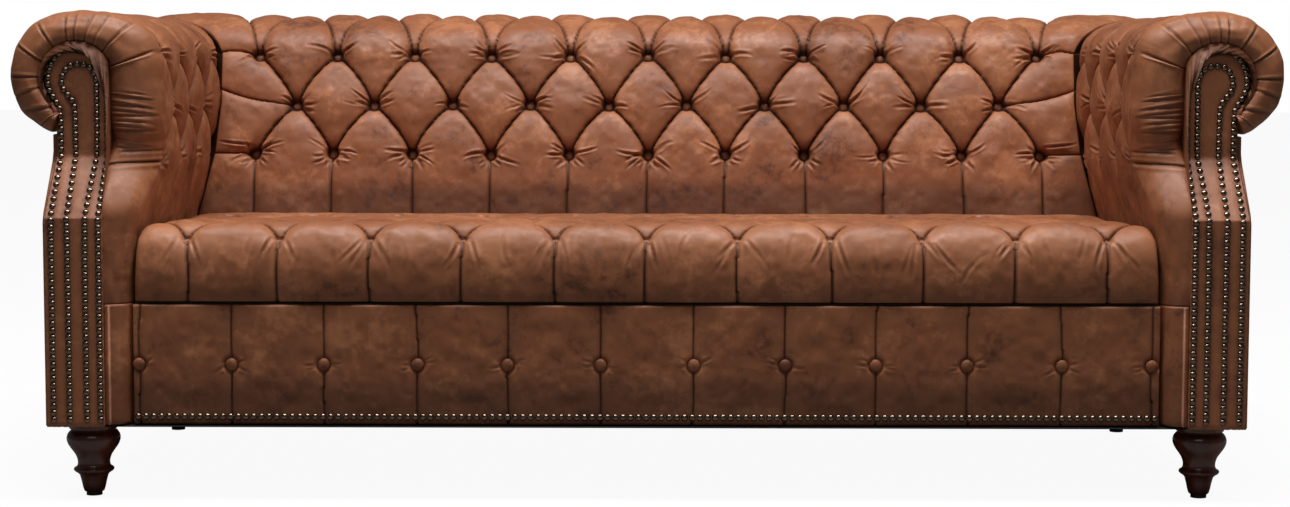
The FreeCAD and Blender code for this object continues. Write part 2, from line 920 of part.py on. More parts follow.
back_top_rail = block(
    -(post_centre_x - post_half),
    post_centre_x - post_half,
    rear_post_front,
    post_centre_y + post_half,
    core_height - rail_half,
    core_height + rail_half,
)
save("back_top_rail", back_top_rail)
back_outer_rail = block(
    -(post_centre_x - post_half),
    post_centre_x - post_half,
    frame_rear - tack_rail_thickness,
    frame_rear,
    outer_rail_base,
    outer_rail_top,
)
save("back_outer_rail", back_outer_rail)
upper_rail_front = half_depth - core_inset - core_radius - upper_rail_set_forward
back_upper_rail = block(
    -deck_half_width,
    deck_half_width,
    upper_rail_front,
    upper_rail_front + tack_rail_thickness,
    core_height - tack_rail_height,
    core_height,
)
save("back_upper_rail", back_upper_rail)
tack_rail_front = half_depth - back_core_at_deck + strap_thickness + strap_clearance
back_tack_rail = block(
    -deck_half_width,
    deck_half_width,
    tack_rail_front,
    tack_rail_front + tack_rail_thickness,
    deck_height,
    deck_height + tack_rail_height,
)
save("back_tack_rail", back_tack_rail)


def back_rib(x):
    """A plywood former with the section of the padded back, less its padding."""

    def place(depth, height):
        return Vector(x - rib_thickness / 2, half_depth - depth, height)

    inner_base = [
        (back_core_at_deck - rib_clearance, rail_top),
        (back_core_at_deck - rib_clearance, face_low_height),
        (back_core_row_3 - rib_clearance, row_3_height),
        (back_core_row_2 - rib_clearance, row_2_height),
    ]
    edges = head_edges(
        place,
        core_radius - rib_clearance,
        facing_outer_waist + post_inset,
        panel_inset + panel_thickness,
        rail_top,
        inner_base,
    )
    rib = Part.Face(Part.Wire(edges)).extrude(Vector(rib_thickness, 0, 0))
    for rail in (back_top_rail, back_outer_rail, back_upper_rail, back_tack_rail):
        rib = rib.cut(rail)
    return rib


for i, x in enumerate(centred(rib_count, rib_spacing)):
    save("back_rib_" + str(i + 1), back_rib(x))

# Webbing and deck

long_straps = []
strap_half = seat_strap_width / 2
for x in centred(seat_button_count, seat_button_pitch):
    strap = block(
        x - strap_half, x + strap_half, rail_front, frame_rear, rail_top, rail_top + strap_thickness
    )
    long_straps.append(strap)
save_group("seat_webbing_long", long_straps)
cross_straps = []
for i in range(cross_strap_count):
    y = cross_strap_first + i * cross_strap_pitch
    base = rail_top + strap_thickness
    strap = block(
        -frame_side, frame_side, y - strap_half, y + strap_half, base, base + strap_thickness
    )
    cross_straps.append(strap)
save_group("seat_webbing_cross", cross_straps)

strap_near = half_depth + strap_clearance
strap_line = [
    (strap_near - back_core_at_deck, deck_height + strap_foot),
    (strap_near - back_core_at_deck, face_low_height),
    (strap_near - back_core_row_3, row_3_height),
    (strap_near - back_core_row_2, row_2_height),
    (upper_rail_front - strap_thickness, core_height - fit_gap),
]
strap_outline = strap_line + [(y + strap_thickness, z) for y, z in reversed(strap_line)]
back_straps = []
half = back_strap_width / 2
rib_places = centred(rib_count, rib_spacing)
for x in centred(back_strap_count, back_strap_pitch):
    if min(abs(x - rib) for rib in rib_places) > half + rib_thickness / 2:
        back_straps.append(lengthwise(strap_outline, x - half, x + half))
save_group("back_webbing", back_straps)

platform = block(
    -deck_half_width,
    deck_half_width,
    rail_front,
    half_depth - back_core_at_deck - strap_thickness,
    rail_top + 2 * strap_thickness,
    deck_height,
)
save("seat_platform", platform)

# Turned legs with their plates, hanger bolts and glides


def turned_leg(x, y):
    """Turned on its own axis: a tapered foot, a ring, a neck, a bulb and a collar."""

    def at(radius, height):
        return Vector(radius, 0, height)

    profile = [
        (0, glide_height),
        (leg_foot_radius, glide_height),
        (leg_ankle_radius, leg_ankle_height),
        (leg_ring_radius, leg_ring_height),
        (leg_neck_radius, leg_neck_height),
        (leg_shoulder_radius, leg_shoulder_height),
        (leg_bulb_radius, leg_bulb_height),
        (leg_collar_radius, leg_collar_height),
        (leg_collar_radius, leg_top),
        (0, leg_top),
    ]
    path = polygon([at(*p) for p in profile])
    leg = Part.Face(Part.Wire(path)).revolve(Vector(0, 0, 0), Vector(0, 0, 1), 360)
    bore_radius = bolt_diameter / 2 + bolt_clearance
    bore_depth = bolt_reach_in_leg + bore_end_gap
    bore = Part.makeCylinder(bore_radius, bore_depth, Vector(0, 0, leg_top - bore_depth))
    leg = leg.cut(bore)
    leg.translate(Vector(x, y, 0))
    return leg


def leg_fittings(x, y):
    glide = Part.makeCylinder(glide_diameter / 2, glide_height, Vector(x, y, 0))
    half_plate = leg_plate_size / 2
    plate = block(x - half_plate, x + half_plate, y - half_plate, y + half_plate, leg_top, frame_base)
    bolt_foot = Vector(x, y, leg_top - bolt_reach_in_leg)
    bolt = Part.makeCylinder(bolt_diameter / 2, bolt_reach_in_leg, bolt_foot)
    return (glide, plate, bolt)


leg_corners = [(side * leg_x, y) for y in (front_leg_y, rear_leg_y) for side in (-1, 1)]
legs = [turned_leg(x, y) for x, y in leg_corners]
save_group("front_legs", legs[:2])
save_group("rear_legs", legs[2:])
fittings = [leg_fittings(x, y) for x, y in leg_corners]
for i, name in enumerate(("foot_glides", "leg_plates", "leg_bolts")):
    save_group(name, [pieces[i] for pieces in fittings])

cover_half = frame_side - dust_cover_margin
dust_cover = block(
    -cover_half,
    cover_half,
    frame_front + dust_cover_margin,
    frame_rear - dust_cover_margin,
    frame_base - dust_cover_thickness,
    frame_base,
)
for x, y in leg_corners:
    half_hole = leg_plate_size / 2 + fit_gap
    hole = block(x - half_hole, x + half_hole, y - half_hole, y + half_hole, 0.0, frame_base)
    dust_cover = dust_cover.cut(hole)
save("dust_cover", dust_cover)
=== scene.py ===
"""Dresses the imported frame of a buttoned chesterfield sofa: tufted leather, nailed facings, turned legs.

Laid out as an add-on whose operators each make one piece or group of like pieces.
"""
import json
import math

import bpy
import numpy as np
from bpy.props import FloatProperty, FloatVectorProperty, IntProperty, PointerProperty
from mathutils import Matrix, Vector


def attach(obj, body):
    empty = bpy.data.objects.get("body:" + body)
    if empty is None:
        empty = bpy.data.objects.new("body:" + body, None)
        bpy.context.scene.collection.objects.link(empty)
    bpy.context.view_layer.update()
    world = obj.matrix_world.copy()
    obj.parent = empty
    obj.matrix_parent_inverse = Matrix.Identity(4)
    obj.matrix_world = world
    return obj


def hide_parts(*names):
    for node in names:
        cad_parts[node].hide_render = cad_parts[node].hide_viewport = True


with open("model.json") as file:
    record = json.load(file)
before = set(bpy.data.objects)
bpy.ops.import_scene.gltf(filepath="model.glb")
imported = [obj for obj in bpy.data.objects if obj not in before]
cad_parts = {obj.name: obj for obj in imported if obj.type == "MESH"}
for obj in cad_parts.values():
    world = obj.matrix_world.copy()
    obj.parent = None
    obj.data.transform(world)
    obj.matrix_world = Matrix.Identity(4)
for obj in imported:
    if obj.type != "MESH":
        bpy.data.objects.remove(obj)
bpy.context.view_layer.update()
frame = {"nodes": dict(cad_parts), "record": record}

bl_info = {
    "name": "Chesterfield Sofa",
    "version": (1, 0, 0),
    "blender": (4, 5, 0),
    "location": "View3D > Sidebar > Sofa",
    "description": "Buttoned leather, nailed facings and turned legs for a chesterfield sofa",
    "category": "Object",
}

MM = 0.001

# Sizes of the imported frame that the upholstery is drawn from, in millimetres
HALF_WIDTH = 1050.0
HALF_DEPTH = 450.0
ROLL_RADIUS = 105.0
ROLL_REACH = 150.0
ROLL_SQUARENESS = 2.6
ROLL_HEIGHT = 695.0
HEAD_CENTRE = (115.0, 688.0)
ROW_3, ROW_2 = 547.0, 641.0
ROW_1_ANGLE, ROW_0_ANGLE, UNDER_ROLL_ANGLE = 164.0, 40.0, -71.0
DECK = 322.0
PANEL_TOP = 595.2
FRAME_BASE = 122.0
BORDER_BASE = 125.0
FACING_INNER = 170.0
FACING_BREAK, FACING_BEND = 462.0, 560.0
FACING_LEAN = 80.0
ROLL_FRONT = -385.0
HEAD_RADIUS = 55.0
BORDER_HALF, BORDER_TOP, BORDER_FRONT = 836.0, 320.0, -430.0
SIDES = ((-1, "left"), (1, "right"))

# How the leather is drawn; lengths in millimetres
RELAX_ROUNDS = 140
LOOSE_SUNK = 12.0
FOLD_FADE, FOLD_FADE_POWER = 17.0, 1.4
PAD_LOAD, SEAT_LOAD, BORDER_LOAD = 980.0, 1050.0, 2400.0
BACK_PITCH, PITCH = 146.0, 150.0
SIDE_SUNK, HEM_SUNK, FOLD_FOOT, DIMPLE = 9.0, 2.5, 9.0, 8.5
FOLD_POINTS = 500
CAP_BEND, CAP_PAST = 0.78, 0.22

# Heights of the buttons in metres, and the nails' height as a share of their width
BUTTON_HEIGHT, BORDER_BUTTON_HEIGHT, NAIL_DOME = 0.009, 0.012, 0.72

# The studio: camera in metres and radians, focal length in pixels of the picture it was fitted to
CAMERA_PLACE = (0.01028, -4.3327, 0.7179)
CAMERA_YAW, CAMERA_PITCH, CAMERA_ROLL = 0.003239, 0.07984, 0.00198
SENSOR_WIDTH, FOCAL_PIXELS, PHOTO_PIXELS = 36.0, 2413.5, 1290.0
WHITE = (1.0, 1.0, 1.0, 1.0)
FLOOR_BOUNCE, FLOOR_WHITENESS = (0.20, 0.19, 0.18, 1.0), 0.94


# ---------------------------------------------------------------- settings


def length_setting(name, description, default):
    """A length that the panel shows, in metres."""
    return FloatProperty(name=name, description=description, default=default, unit="LENGTH")


def colour_setting(name, description, default):
    return FloatVectorProperty(
        name=name, description=description, default=default, subtype="COLOR", min=0.0, max=1.0
    )


def power_setting(name, description, default):
    return FloatProperty(name=name, description=description, default=default, unit="POWER")


class SofaTufting(bpy.types.PropertyGroup):
    button_sunk: length_setting("Button Depth", "How far the buttons are pulled in", 0.034)
    crease_sunk: length_setting("Crease Depth", "How far the creases lie between buttons", 0.015)
    slit: length_setting("Fold Depth", "Extra depth in the very line of a fold", 0.0035)
    wrinkle: length_setting("Wrinkle Depth", "Depth of the wrinkles round each button", 0.0036)
    button_width: length_setting("Button Width", "Diameter of the small buttons", 0.017)
    border_button_width: length_setting("Border Button Width", "Diameter of the border's buttons", 0.021)
    mesh_step: length_setting("Mesh Step", "Distance between mesh lines on the pads", 0.0028)
    seed: IntProperty(name="Seed", description="Seed of the folds' irregularity", default=7)


class SofaLeather(bpy.types.PropertyGroup):
    # The light colour is also laid on as painted highlight on crests and crowns, partly real wear.
    light: colour_setting("Light", "Rubbed, high parts of the leather", (0.47, 0.185, 0.085))
    middle: colour_setting("Middle", "Main colour of the leather", (0.31, 0.108, 0.047))
    dark: colour_setting("Dark", "Dark blotches of the antiqued finish", (0.145, 0.047, 0.023))
    # The fold colour is painted shade in creases and recesses, partly the antique finish gathered there.
    fold: colour_setting("Fold", "Colour held in the folds", (0.024, 0.008, 0.005))


class SofaTrim(bpy.types.PropertyGroup):
    nail_width: length_setting("Nail Width", "Diameter of the nail heads", 0.0115)
    nail_pitch: length_setting("Nail Pitch", "Distance from nail to nail", 0.0112)
    border_nail_pitch: length_setting("Border Nail Pitch", "Distance from nail to nail at the border", 0.0125)
    nail_colour: colour_setting("Nail Colour", "Blackened bronze of the nail heads", (0.24, 0.185, 0.14))
    wood_colour: colour_setting("Leg Colour", "Stain of the turned legs", (0.105, 0.022, 0.009))


class SofaStudio(bpy.types.PropertyGroup):
    key: power_setting("Key Light", "Power of the large light above", 265.0)
    front: power_setting("Front Light", "Power of the light by the camera", 13.0)
    world: FloatProperty(name="Surroundings", description="Strength of the light all round", default=0.06)


def settings():
    """The depths, widths and seed of the tufting."""
    return bpy.context.scene.sofa_tufting


def coarser():
    """How many times wider the mesh lines stand in a quick draft."""
    return 1.0


# ---------------------------------------------------------------- section lines


class Line:
    """A smooth section line, as depth from the outermost face and height, with its outward normals."""

    def __init__(self, points, softness):
        points = np.array(points, float)
        run = np.concatenate([[0], np.cumsum(np.hypot(*np.diff(points, axis=0).T))])
        self.run = np.arange(0, run[-1], 1.0)
        self.a = np.interp(self.run, run, points[:, 0])
        self.b = np.interp(self.run, run, points[:, 1])
        reach = int(3 * softness)
        weights = np.exp(-0.5 * (np.arange(-reach, reach + 1) / max(softness, 0.1)) ** 2)
        weights /= weights.sum()
        for name in ("a", "b"):
            values = getattr(self, name)
            before = 2 * values[0] - values[reach:0:-1]
            after = 2 * values[-1] - values[-2 : -reach - 2 : -1]
            setattr(self, name, np.convolve(np.concatenate([before, values, after]), weights, "valid"))
        da, db = np.gradient(self.a), np.gradient(self.b)
        length = np.hypot(da, db)
        self.na, self.nb = db / length, -da / length

    def nearest(self, a, b):
        return float(self.run[np.argmin((self.a - a) ** 2 + (self.b - b) ** 2)])

    def at(self, run, sunk):
        """The place that lies sunk below the line, and the outward direction there."""
        a, b = np.interp(run, self.run, self.a), np.interp(run, self.run, self.b)
        na, nb = np.interp(run, self.run, self.na), np.interp(run, self.run, self.nb)
        return a - na * sunk, b - nb * sunk


def roll_point(angle):
    """A place on the roll: round on its outside, fuller and flatter on its inside."""
    across, up = math.cos(math.radians(angle)), math.sin(math.radians(angle))
    if across >= 0:
        return (ROLL_RADIUS * (1 - across), ROLL_HEIGHT + ROLL_RADIUS * up)
    power = 2 / ROLL_SQUARENESS
    return (ROLL_RADIUS + ROLL_REACH * abs(across) ** power, ROLL_HEIGHT + ROLL_RADIUS * abs(up) ** power)


def roll_line(face):
    """The given face, then over the roll to its underside and the hem."""
    angles = [ROW_1_ANGLE, *range(int(ROW_1_ANGLE) - 6, int(UNDER_ROLL_ANGLE), -6), UNDER_ROLL_ANGLE]
    return list(face) + [roll_point(angle) for angle in angles]


def oriented(line):
    """Depth grows inwards, so the outward normal has to point to smaller depth over the roll."""
    middle = len(line.run) // 2
    away_a, away_b = line.a[middle] - HEAD_CENTRE[0], line.b[middle] - HEAD_CENTRE[1]
    if line.na[middle] * away_a + line.nb[middle] * away_b < 0:
        line.na, line.nb = -line.na, -line.nb
    return line


# ---------------------------------------------------------------- tufted sheets


def smooth_step(x):
    """Rises smoothly from 0 to 1 as x does."""
    x = np.clip(x, 0.0, 1.0)
    return x * x * (3 - 2 * x)


def bell(x):
    """A smooth bump, 1 in its middle and all but gone two widths away."""
    return np.exp(-(x**2))


def uneven(u, v, size, seed):
    """Smooth random swell between -1 and 1 over a sheet, with bumps of about that size."""
    random = np.random.default_rng(seed)
    lattice = random.uniform(-1, 1, (96, 96))
    x, y = u / size + 40.3, v / size + 31.7
    i, j = np.floor(x).astype(int) % 96, np.floor(y).astype(int) % 96
    fx, fy = smooth_step(x - np.floor(x)), smooth_step(y - np.floor(y))
    i1, j1 = (i + 1) % 96, (j + 1) % 96
    low = lattice[i, j] * (1 - fx) + lattice[i1, j] * fx
    high = lattice[i, j1] * (1 - fx) + lattice[i1, j1] * fx
    return low * (1 - fy) + high * fy


def mesh_rows(length, fine_places, fine, coarse, reach=24.0):
    """Places of the mesh lines across a sheet, closer together near the rows of buttons."""
    run = np.arange(0, length + 0.5, 0.5)
    near = np.min([np.abs(run - p) for p in fine_places], axis=0)
    step = fine + (coarse - fine) * smooth_step((near - reach) / 14.0)
    total = np.concatenate([[0], np.cumsum(0.5 / step[:-1])])
    return np.interp(np.linspace(0, total[-1], int(round(total[-1])) + 1), total, run)


def faded(distance, reach=FOLD_FADE):
    """How much of a button's pull is left at a distance from it."""
    return np.exp(-((distance / reach) ** FOLD_FADE_POWER))


def fold(low, high, low_sunk, high_sunk, middle_sunk, power=1.3, bow=0.0):
    """A fold from a lower button to an upper one: it leaves the lower one steeply and leans over above."""
    count = max(12, int(math.dist(low, high) / 0.6))
    t = np.linspace(0, 1, count)
    run = low[1] + (high[1] - low[1]) * t
    across = low[0] + (high[0] - low[0]) * t**power + bow * np.sin(math.pi * t)
    length = math.dist(low, high)
    near_low, near_high = t * length, (1 - t) * length
    sunk = middle_sunk + (low_sunk - middle_sunk) * faded(near_low)
    sunk = sunk + (high_sunk - middle_sunk) * faded(near_high)
    return np.stack([across, run, sunk], axis=1)


def flat_fold(a, b, a_sunk, b_sunk, bow=0.0):
    """A fold that runs mostly along the sheet, to its end."""
    count = max(12, int(math.dist(a, b) / 0.6))
    t = np.linspace(0, 1, count)
    run = a[1] + (b[1] - a[1]) * t + bow * np.sin(math.pi * t)
    across = a[0] + (b[0] - a[0]) * t
    length = math.dist(a, b)
    sunk = b_sunk + (a_sunk - b_sunk) * faded(t * length)
    return np.stack([across, run, sunk], axis=1)


def relax(value, fixed, source, rows, step, rounds, speed=1.9):
    """Spreads fixed values over a sheet as a stretched skin with an even load would lie."""
    h1 = np.diff(rows, prepend=2 * rows[0] - rows[1])
    h2 = np.diff(rows, append=2 * rows[-1] - rows[-2])
    low = (2 / (h1 * (h1 + h2)))[:, None]
    high = (2 / (h2 * (h1 + h2)))[:, None]
    side = 1 / step**2
    total = low + high + 2 * side
    i, j = np.indices(value.shape)
    masks = [((i + j) % 2 == colour) & ~fixed for colour in (0, 1)]
    padded = np.pad(value, 1, mode="edge")
    for _ in range(rounds):
        for mask in masks:
            padded[0], padded[-1] = padded[1], padded[-2]
            padded[:, 0], padded[:, -1] = padded[:, 1], padded[:, -2]
            inner = padded[1:-1, 1:-1]
            wanted = low * padded[:-2, 1:-1] + high * padded[2:, 1:-1]
            wanted += side * (padded[1:-1, :-2] + padded[1:-1, 2:]) + source
            wanted /= total
            inner[mask] += speed * (wanted[mask] - inner[mask])
    return padded[1:-1, 1:-1].copy()


class Sheet:
    """A tufted sheet of leather over a section line, before it is closed into a pad."""

    def __init__(self, line, rows, main_from, main_to, low_end, high_end, end_columns):
        step = settings().mesh_step / MM * coarser()
        self.line, self.rows, self.step = line, rows, step
        count = int(round((main_to - main_from) / step))
        self.main = (main_from, main_to)
        self.low_end, self.high_end = low_end(rows), high_end(rows)
        self.count = (end_columns[0], count, end_columns[1])
        self.width = sum(self.count) + 1
        self.i = np.repeat(np.arange(len(rows), dtype=float)[:, None], self.width, axis=1)
        self.q = np.repeat(np.arange(self.width, dtype=float)[None, :], len(rows), axis=0)
        self.fixed = np.zeros(self.i.shape, bool)
        self.sunk = np.full(self.i.shape, LOOSE_SUNK)

    def across(self, q, row):
        """Place along the sheet of a column, which may lie between two, at a row."""
        first, middle, last = self.count
        low, high = self.ends_at(row)
        main_from, main_to = self.main
        x = main_from + (q - first) * (main_to - main_from) / middle
        if first:
            x = np.where(q < first, low + (main_from - low) * q / first, x)
        if last:
            x = np.where(q > first + middle, main_to + (high - main_to) * (q - first - middle) / last, x)
        return x

    def ends_at(self, row):
        """The places of the sheet's two ends at a row."""
        places = np.arange(len(self.rows))
        return np.interp(row, places, self.low_end), np.interp(row, places, self.high_end)

    def column(self, x, row):
        """The column of a place at a row, the other way round from across()."""
        first, middle, last = self.count
        low, high = self.ends_at(row)
        main_from, main_to = self.main
        q = first + (x - main_from) / (main_to - main_from) * middle
        if first:
            q = np.where(x < main_from, (x - low) / np.maximum(main_from - low, 1e-6) * first, q)
        if last:
            past = first + middle + (x - main_to) / np.maximum(high - main_to, 1e-6) * last
            q = np.where(x > main_to, past, q)
        return q

    def crease(self, points):
        """Moves the nearest mesh corners onto a fold and holds them at its depth."""
        row = np.interp(points[:, 1], self.rows, np.arange(len(self.rows)))
        q = self.column(points[:, 0], row)
        keep = (q > -0.5) & (q < self.width - 0.5)
        row, q, sunk = row[keep], q[keep], points[keep, 2]
        i = np.clip(np.round(row).astype(int), 0, len(self.rows) - 1)
        j = np.clip(np.round(q).astype(int), 0, self.width - 1)
        off = (row - i) ** 2 + (q - j) ** 2
        order = np.argsort(-off)
        i, j, row, q, sunk = i[order], j[order], row[order], q[order], sunk[order]
        inside = (j > 0) & (j < self.width - 1) & (i > 0) & (i < len(self.rows) - 1)
        self.i[i[inside], j[inside]] = row[inside]
        self.q[i[inside], j[inside]] = q[inside]
        deeper = np.maximum(np.where(self.fixed[i, j], self.sunk[i, j], 0), sunk)
        self.sunk[i, j] = deeper
        self.fixed[i, j] = True

    def hold(self, edge, sunk):
        """Holds one edge of the sheet at a depth, except where a fold has reached it."""
        every, first, last = slice(None), slice(0, 1), slice(-1, None)
        edges = {
            "lower": (first, every), "upper": (last, every), "left": (every, first), "right": (every, last),
        }
        where = edges[edge]
        self.sunk[where] = np.where(self.fixed[where], self.sunk[where], sunk)
        self.fixed[where] = True

    def places(self):
        """Every corner's place along the sheet and its run along the section."""
        u = self.across(self.q, self.i)
        s = np.interp(self.i, np.arange(len(self.rows)), self.rows)
        return u, s

    def fill(self, reference, sharpness=0.5, seed=1):
        """Swells the leather between the folds, which are all laid by then."""
        creases = self.fixed.copy()
        start = np.where(creases, self.sunk, LOOSE_SUNK)
        base = relax(start, creases, 0.0, self.rows, self.step, RELAX_ROUNDS)
        swell = relax(np.zeros(base.shape), creases, 1.0, self.rows, self.step, RELAX_ROUNDS)
        self.u, self.s = u, s = self.places()
        x = np.maximum(swell / reference, 0.0)
        x = x / (1 + x**3) ** (1 / 3)
        rise = x**sharpness * (1 + 0.10 * uneven(u, s, 70.0, seed) + 0.05 * uneven(u, s, 31.0, seed + 1))
        self.depth = base * (1 - np.minimum(rise, 1.1))
        self.depth += 1.1 * uneven(u, s, 24.0, seed + 2) * np.minimum(x * 2, 1)
        self.depth += 0.5 * uneven(u, s, 11.0, seed + 3) * np.minimum(x * 2, 1)
        self.slit = creases & (self.sunk > 4)
        self.depth[self.slit] += settings().slit / MM
        # Lighter edges beside the folds: painted highlight on their lit crests, partly wear.
        self.worn = 0.5 * bell((x - 0.24) / 0.15) * (0.6 + 0.4 * uneven(u, s, 40.0, seed + 5))
        self.groove = np.zeros(base.shape)
        # Painted shade that a piece may lay over part of its sheet.
        self.painted_shade = np.zeros(base.shape)
        self.full = np.minimum(x, 1.0)

    def press(self, u0, s0, angle, length, depth, width, start=0.0, curve=0.0):
        """One wrinkle, from a place and in a direction, fading out along its length."""
        reach = length + start + 8
        rows = np.nonzero(np.abs(self.rows - s0) < reach)[0]
        if not len(rows):
            return
        r = slice(rows[0], rows[-1] + 1)
        u, s = self.u[r], self.s[r]
        c, d = math.cos(angle), math.sin(angle)
        x = (u - u0) * c + (s - s0) * d - start
        y = -(u - u0) * d + (s - s0) * c - curve * x * x / max(length, 1)
        t = np.clip(x / length, 0, 1)
        fade = np.where((x > -4) & (x < length), np.sin(math.pi * np.clip(t * 0.8 + 0.2, 0, 1)), 0.0)
        groove = bell(y / width) - 0.55 * bell((np.abs(y) - 2.1 * width) / width)
        self.depth[r] += depth * fade * groove
        # The wrinkle's ridges are painted lighter as highlights and its groove darker as painted shade.
        self.worn[r] += 0.6 * fade * np.clip(-groove, 0, 1)
        self.groove[r] = np.maximum(self.groove[r], 0.10 * depth * fade * np.clip(groove, 0, 1))

    def wrinkles(self, buttons, seed, length=(20, 50)):
        """A fan of short wrinkles to each side of every button."""
        random = np.random.default_rng(seed)
        depth = settings().wrinkle / MM
        for u0, s0 in buttons:
            for side in (-1, 1):
                for _ in range(random.integers(1, 5)):
                    tilt = random.uniform(-0.6, 0.7)
                    angle = tilt if side > 0 else math.pi - tilt
                    self.press(
                        u0, s0, angle, random.uniform(*length), depth * random.uniform(0.3, 1.1),
                        random.uniform(1.7, 3.0), start=random.uniform(6, 12), curve=random.uniform(-0.4, 0.4)
                    )

    def dimple(self, buttons, radius, sunk):
        """Leather drawn down flat under each button."""
        for u0, s0 in buttons:
            rows = np.nonzero(np.abs(self.rows - s0) < radius * 2.2)[0]
            if not len(rows):
                continue
            r = slice(rows[0], rows[-1] + 1)
            far = np.hypot(self.u[r] - u0, self.s[r] - s0)
            weight = 1 - smooth_step((far - radius * 0.75) / (radius * 1.2))
            self.depth[r] = self.depth[r] * (1 - weight) + sunk * weight

    def surface(self):
        """Corner places along the sheet, in depth and in height, after everything is pressed in."""
        return (self.u, *self.line.at(self.s, self.depth))


def bridge(one, two):
    """Triangles between two lines of as many corners."""
    return [np.stack([one[:-1], one[1:], two[1:]], -1), np.stack([one[:-1], two[1:], two[:-1]], -1)]


def zip_strip(first, second, flip):
    """Triangles between two lines of corners that have different counts."""
    first_run, second_run = np.linspace(0, 1, len(first)), np.linspace(0, 1, len(second))
    faces, i, j = [], 0, 0
    while i < len(first) - 1 or j < len(second) - 1:
        if j == len(second) - 1 or (i < len(first) - 1 and first_run[i + 1] <= second_run[j + 1]):
            faces.append((first[i], first[i + 1], second[j]))
            i += 1
        else:
            faces.append((first[i], second[j + 1], second[j]))
            j += 1
    return np.array(faces)[:, ::flip]


def grid_faces(depth, marked, first):
    """Triangles of a sheet, cut along the folds."""
    n, m = depth.shape
    index = first + np.arange(n * m).reshape(n, m)
    a, b, c, d = index[:-1, :-1], index[:-1, 1:], index[1:, 1:], index[1:, :-1]
    along = marked[:-1, :-1] & marked[1:, 1:]
    other = marked[:-1, 1:] & marked[1:, :-1]
    flatter = np.abs(depth[:-1, :-1] - depth[1:, 1:]) <= np.abs(depth[:-1, 1:] - depth[1:, :-1])
    use = along | (~other & flatter)
    one = np.where(use[..., None], np.stack([a, b, c], -1), np.stack([a, b, d], -1)).reshape(-1, 3)
    two = np.where(use[..., None], np.stack([a, c, d], -1), np.stack([b, c, d], -1)).reshape(-1, 3)
    return np.concatenate([one, two])


def board_faces(rows, columns):
    """Faces of a board: a grid in front, the same grid behind it, and the edge between the two."""
    count = rows * columns
    index = np.arange(count).reshape(rows, columns)
    quads = np.stack([index[:-1, :-1], index[:-1, 1:], index[1:, 1:], index[1:, :-1]], -1).reshape(-1, 4)
    loop = np.concatenate([index[0], index[1:, -1], index[-1, -2::-1], index[-2:0:-1, 0]])
    nxt = np.roll(loop, -1)
    rim = np.stack([nxt, loop, loop + count, nxt + count], -1)
    return np.concatenate([quads, quads[:, ::-1] + count, rim])


def tube_faces(rings, around):
    """Triangles round a row of rings, closed flat at both ends."""
    index = np.arange(rings * around).reshape(rings, around)
    nxt = np.roll(index, -1, axis=1)
    sides = np.stack([index[:-1], nxt[:-1], nxt[1:], index[1:]], -1).reshape(-1, 4)
    faces = [sides[:, :3], sides[:, [0, 2, 3]]]
    for row, flip in ((index[0], -1), (index[-1], 1)):
        faces.append(np.array([(row[0], row[i], row[i + 1]) for i in range(1, around - 1)])[:, ::flip])
    return np.concatenate(faces)


def masks_of(hollow, line, worn, count, shade):
    """Masks of a surface, followed by those of its hidden corners."""
    return {
        "hollow": np.concatenate([hollow.ravel(), np.full(count, shade)]),
        "line": np.concatenate([line.ravel(), np.zeros(count)]),
        "worn": np.concatenate([worn.ravel(), np.zeros(count)]),
    }


def in_scene(name, data):
    """An object of that data, in the scene."""
    made = bpy.data.objects.new(name, data)
    bpy.context.scene.collection.objects.link(made)
    return made


def add_mesh(name, corners, faces, masks=None):
    """A mesh object from corners in millimetres, with its faces turned outwards."""
    mesh = bpy.data.meshes.new(name)
    corners = np.asarray(corners, float) * MM
    faces = np.asarray(faces, int)
    p = corners[faces]
    volume = np.einsum("ij,ij->i", p[:, 0], np.cross(p[:, 1], p[:, 2])).sum()
    if faces.shape[1] == 4:
        volume += np.einsum("ij,ij->i", p[:, 0], np.cross(p[:, 2], p[:, 3])).sum()
    if volume < 0:
        faces = faces[:, ::-1]
    mesh.from_pydata(corners.tolist(), [], faces.tolist())
    for key, values in (masks or {}).items():
        attribute = mesh.attributes.new(key, "FLOAT", "POINT")
        attribute.data.foreach_set("value", np.asarray(values, np.float32).ravel())
    mesh.validate()
    mesh.shade_smooth()
    mesh.update()
    return in_scene(name, mesh)


def back_place(u, a, b):
    """Corners of the back and the seat, whose depth is measured from the rear."""
    return np.stack([u, HALF_DEPTH - a, b], axis=1)


def finish_piece(made, material, slot, *nodes, padded=None):
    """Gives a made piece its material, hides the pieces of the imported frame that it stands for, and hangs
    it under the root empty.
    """
    made.data.materials.clear()
    made.data.materials.append(material)
    if nodes:
        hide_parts(*nodes)
    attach(made, "root")
    return made


def rub_and_highlight(sheet, where, width, amount):
    """Lightens the finish in a band along the sheet: painted highlight on the crowns of the roll and the
    seat's brow, partly wear where the leather is sat on or leant on.
    """
    patchy = 0.75 + 0.25 * uneven(sheet.u, sheet.s, 55.0, 17)
    sheet.worn += amount * bell((sheet.s - where) / width) * patchy


